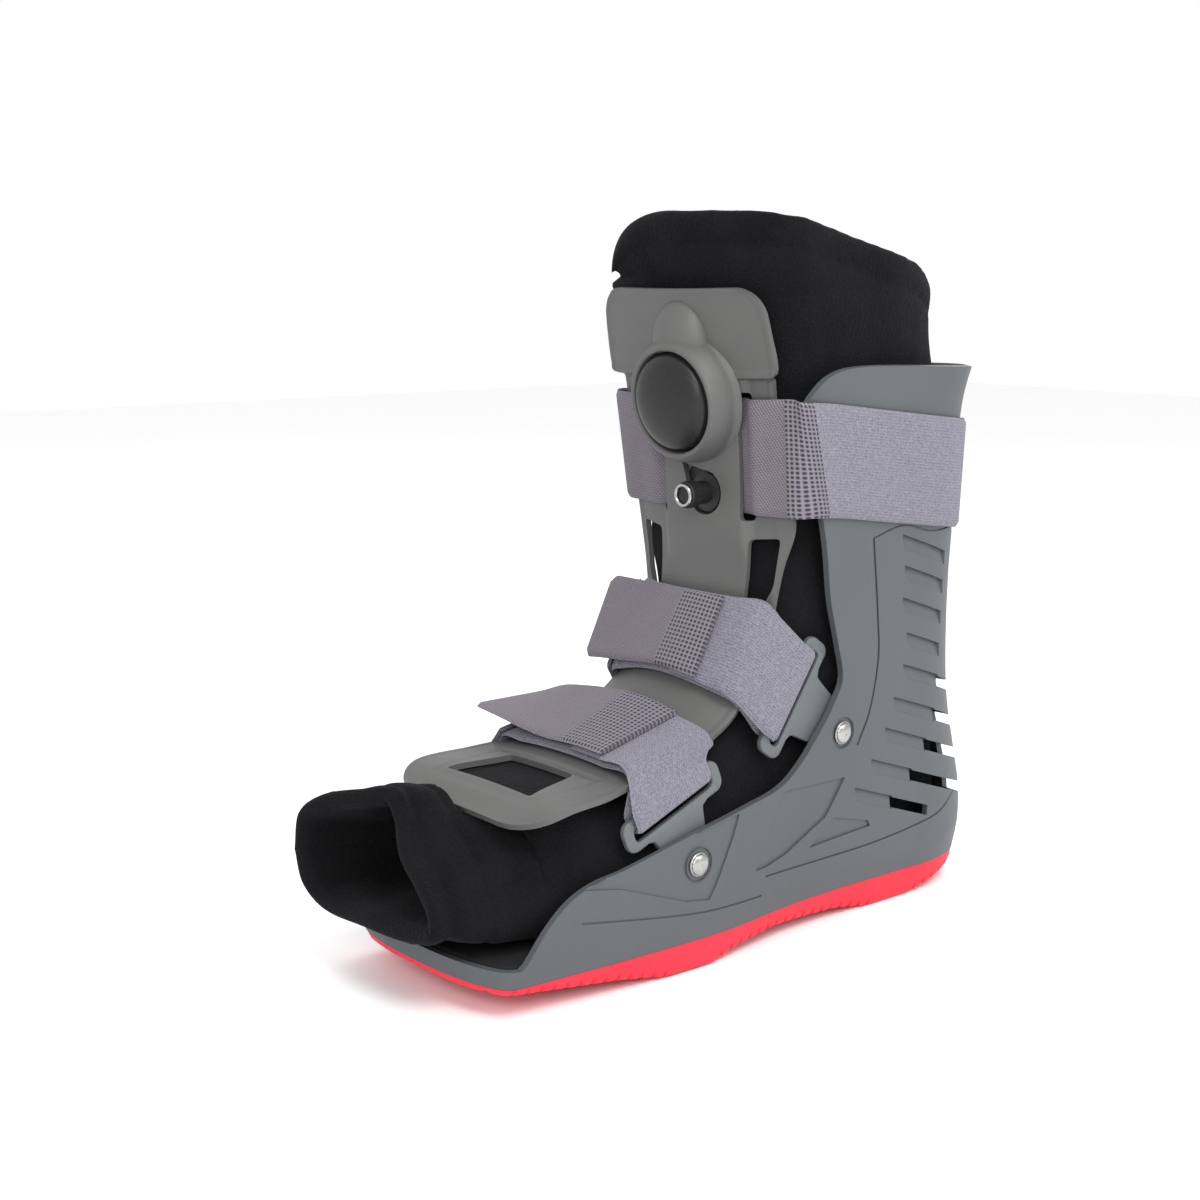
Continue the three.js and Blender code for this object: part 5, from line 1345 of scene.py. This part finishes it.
def cornerReach(points):
    # How far each point lies towards the shaft's front corner on the wearer's right.
    turn = math.radians(liner["cornerTurn"])
    return -(points[:, 0] * math.cos(turn) + points[:, 1] * math.sin(turn))


def rimShape(points):
    # The shaft's edge: a seam channel below the rim, and the front corner drawn down round.
    y, z = points[:, 1], points[:, 2]
    rim = np.interp(-y / boot["toeReach"], linerRim["forward"][::-1], linerRim["height"][::-1])
    below = rim * boot["linerTop"] - z
    high = z > liner["shaftFrom"]
    move = 0.6 * np.exp(-((below - 6) / 5.0) ** 2) * high - 1.1 * np.exp(-((below - 14) / 1.2) ** 2) * high
    left = cornerReach(points)
    inward = np.clip(1 - (left[z > 262].max() - left) / liner["frontCorner"], 0, 1)
    drop = liner["frontCorner"] * (1 - np.sqrt(1 - inward ** 2)) * fade(262, 300, z)
    return move, drop


def underPanel(x, y):
    # The height of the front line's surface over a plan point of the foot.
    way = np.interp(y, frontPoints[onFoot, 1], frontSteps[onFoot])
    return overFront(way, x, -0.2)[..., 2]


def sectionRing(body, angle, centre):
    # The body's own section at the sleeve's back, found by rays from outside, a ray for each angle.
    reach, outside = [], 0.12
    middle = Vector(rowPoints([centre[0], liner["sleeveBack"], centre[1]]).tolist())
    for a in angle:
        way = Vector((math.cos(a), 0, math.sin(a)))
        start = middle + way * outside
        hit, place, *_ = body.ray_cast(start, -way)
        reach.append((outside - ((start - place).length if hit else 0.08)) * 1000 + 0.8)
    kernel = np.hanning(17) / np.hanning(17).sum()
    reach = np.convolve(np.array(reach[-8:] + reach + reach[:8]), kernel, "valid")
    return np.stack([centre[0] + reach * np.cos(angle), np.full(len(reach), liner["sleeveBack"]),
                     centre[1] + reach * np.sin(angle)], -1)


def toeSleeve(body):
    # Rings run from the instep's own section to the mouth, roll over its bound rim and go back inside.
    mouth = catmull(np.array(mouthPoints + mouthPoints[:1], float), liner["around"] + 1)[:-1]
    centre = liner["sleeveMiddle"]
    section = sectionRing(body, np.arctan2(mouth[:, 2] - centre[1], mouth[:, 0] - centre[0]), centre)
    tangent = np.roll(mouth, -1, 0) - np.roll(mouth, 1, 0)
    ahead = np.array([0, -1.0, 0])
    normal = np.cross(tangent, ahead)
    normal /= np.linalg.norm(normal, axis=1, keepdims=True)
    if (normal[:, [0, 2]] * (mouth[:, [0, 2]] - centre)).sum() < 0:
        normal = -normal
    r = liner["rimRound"]
    rings = []
    for t in np.linspace(0, 1, 60):
        ease = t ** 1.25 * (1 - 0.25 * np.sin(np.pi * t))
        ring = section * (1 - ease) + mouth * ease
        swell = 1.6 * np.sin(np.pi * t) - 1.6 * math.exp(-((t - 0.8) / 0.02) ** 2)
        swell = swell - 1.7 * math.exp(-((t - 0.955) / 0.02) ** 2)
        x, y, z = ring.T
        waves = 0.9 * np.sin(0.16 * y + 0.09 * x) * np.sin(0.13 * z + 0.5) + 0.5 * np.sin(0.31 * (x + z))
        rings.append(ring + normal * (swell + waves * t)[:, None])
    for turn in np.linspace(0.15, np.pi, 12):
        rolled = normal * (r * math.cos(turn) - r + 0.9 * math.sin(turn)) + ahead * r * 1.1 * math.sin(turn)
        rings.append(mouth + rolled)
    for t in np.linspace(0.03, 1, 26):
        inner = mouth * (1 - t) + (section - normal * 1.5) * t
        x, y, z = inner.T
        rings.append(inner - normal * (2 * r + 1.2 * np.sin(0.2 * x + 0.1 * y)[:, None] * np.sin(np.pi * t)))
    points = np.concatenate(rings)
    points[:, 2] = np.maximum(points[:, 2], liner["lowest"])
    covered = fade(-149, -141, points[:, 1])
    points[:, 2] = np.minimum(points[:, 2], underPanel(points[:, 0], points[:, 1]) + 40 * (1 - covered))
    piece = meshPiece("toeSleeve", points, gridFaces(len(rings), liner["around"], wrapColumns=True))
    tidyNormals(piece)
    return piece


def fitted(points, normals):
    # The whole body's shape: its rim and folds, its front corner, and the cloth that swells out into
    # the side windows of the shin and up under the forefoot plate.
    move, drop = rimShape(points)
    points = points + normals * (move + creased(points))[:, None]
    points[:, 2] -= drop
    left = cornerReach(points)
    points[:, 0] -= liner["flare"] * fade(12, 40, left) * fade(liner["shaftFrom"], 238, points[:, 2])
    # the front corner comes down full to the panel's top edge
    front = left[points[:, 2] > 250].max()
    corner = fade(front - 24, front - 10, left) * fade(264, 269, points[:, 2])
    corner = corner * (1 - fade(273.0, 277.5, points[:, 2]))
    points[:, 0] -= 3.6 * corner
    points[:, 1] -= 4.4 * corner
    x, y, z = points.T
    beneath = np.exp(-((z - 166) / 25) ** 2) * fade(12, 28, np.abs(x)) * (1 - fade(-8, 18, y))
    points[:, 0] += np.sign(x) * np.where(x < 0, liner["rightBulge"], liner["leftBulge"]) * beneath
    x, y, z = points.T
    instep = np.exp(-((y + 116) / 30) ** 2) * fade(0.2, 0.8, normals[:, 2]) * fade(55, 62, z)
    limit = np.where(normals[:, 2] > 0.15, underPanel(x, y) - 0.3, 1e9)
    points[:, 2] = np.maximum(z, np.minimum(z + liner["instepRise"] * instep, limit))
    return points


def buildLiner():
    # The liner's own hollow form, remeshed finely and relaxed, padded, with the toe made anew.
    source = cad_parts["liner"]
    piece = bpy.data.objects.new("linerPadding", source.data.copy())
    bpy.context.scene.collection.objects.link(piece)
    tidyNormals(piece, 0.00002)
    addModifier(piece, "REMESH", mode="VOXEL", voxel_size=liner["voxel"])
    addModifier(piece, "SMOOTH", factor=0.6, iterations=liner["smooth"])
    applyModifiers(piece)
    sleeve = toeSleeve(piece)
    x, y, z = np.eye(3)
    corners = [(-90, -5), (90, -5), (90, 140), (-90, 140)]
    cutWith(piece, [prism(corners, np.zeros(3), x, z, y, -260, liner["toeCut"])], "toeCut")
    mesh = piece.data
    points = np.zeros(len(mesh.vertices) * 3, np.float32)
    normals = np.zeros(len(mesh.vertices) * 3, np.float32)
    mesh.vertices.foreach_get("co", points)
    mesh.vertices.foreach_get("normal", normals)
    own = fitted(points.reshape(-1, 3).astype(float) * 1000 - shift, normals.reshape(-1, 3).astype(float))
    mesh.vertices.foreach_set("co", rowPoints(own).astype(np.float32).ravel())
    mesh.polygons.foreach_set("use_smooth", [True] * len(mesh.polygons))
    mesh.update()
    joinInto(piece, sleeve)
    dress(piece, "liner")
    paint(piece, "liner")


buildLiner()
print("liner made")

# Floor, lights and camera

floorReach = 3.0


def buildFloor():
    # A pale flat sheet, a hair below the sole.
    mesh = bpy.data.meshes.new("paleFloor")
    s, low = floorReach, -0.0002
    mesh.from_pydata([(-s, -s, low), (s, -s, low), (s, s, low), (-s, s, low)], [], [(0, 1, 2, 3)])
    floor = bpy.data.objects.new("paleFloor", mesh)
    bpy.context.scene.collection.objects.link(floor)
    f = Finish("paleFloorPaint")
    tone = f.noise(f.place(), 6.0, 2.0)
    floor.data.materials.append(f.done(f.mix(tone, (0.93, 0.93, 0.935), (0.95, 0.95, 0.955)), 0.6))


lights = {
    "keyLight": (75, 52, 1.5, 0.8, 13.0),
    "sideLight": (120, 25, 1.6, 0.9, 4.0),
    "backLight": (215, 50, 1.6, 1.0, 7.0),
    "frontFill": (44, 22, 1.3, 0.4, 5.0),
}
camera = {
    "azimuth": 52.0, "elevation": 9.6, "distance": 848.0, "target": (-12.6, -58.0, 143.7),
    "focalPixels": 2030.0, "picture": 1200.0, "sensor": 36.0,
}


def direction(azimuth, elevation):
    # A unit vector from an azimuth and an elevation in degrees.
    a, e = math.radians(azimuth), math.radians(elevation)
    return np.array([math.sin(a) * math.cos(e), -math.cos(a) * math.cos(e), math.sin(e)])


def lookFrom(thing, place, target):
    # Places a light or camera and turns its -Z to the target.
    thing.location = Vector(place.tolist())
    thing.rotation_mode = "QUATERNION"
    thing.rotation_quaternion = Vector((np.asarray(target) - place).tolist()).to_track_quat("-Z", "Y")


def buildLights():
    # Round area lights about the boot, and a white surrounding.
    middle = np.array([0.0, 0.0, 0.13])
    for name, (azimuth, elevation, distance, size, power) in lights.items():
        data = bpy.data.lights.new(name, "AREA")
        data.shape, data.size, data.energy = "DISK", size, power
        light = bpy.data.objects.new(name, data)
        bpy.context.scene.collection.objects.link(light)
        lookFrom(light, middle + direction(azimuth, elevation) * distance, middle)
    world = bpy.data.worlds.new("paleRoom")
    world.use_nodes = True
    back = world.node_tree.nodes["Background"]
    back.inputs["Color"].default_value = (1.0, 1.0, 1.0, 1)
    back.inputs["Strength"].default_value = 1.0
    bpy.context.scene.world = world


def buildCamera():
    # The camera from its focal length in pixels of the picture.
    data = bpy.data.cameras.new("photoCamera")
    data.sensor_width = camera["sensor"]
    data.sensor_fit = "HORIZONTAL"
    data.lens = camera["focalPixels"] / camera["picture"] * camera["sensor"]
    seer = bpy.data.objects.new("photoCamera", data)
    bpy.context.scene.collection.objects.link(seer)
    target = np.array(camera["target"])
    place = target + direction(camera["azimuth"], camera["elevation"]) * camera["distance"]
    lookFrom(seer, rowPoints(place), rowPoints(target))
    bpy.context.scene.camera = seer


buildFloor()
buildLights()
buildCamera()
bpy.context.scene.view_settings.view_transform = "Standard"
print("floor, lights and camera made")

bpy.context.view_layer.update()
print("done")
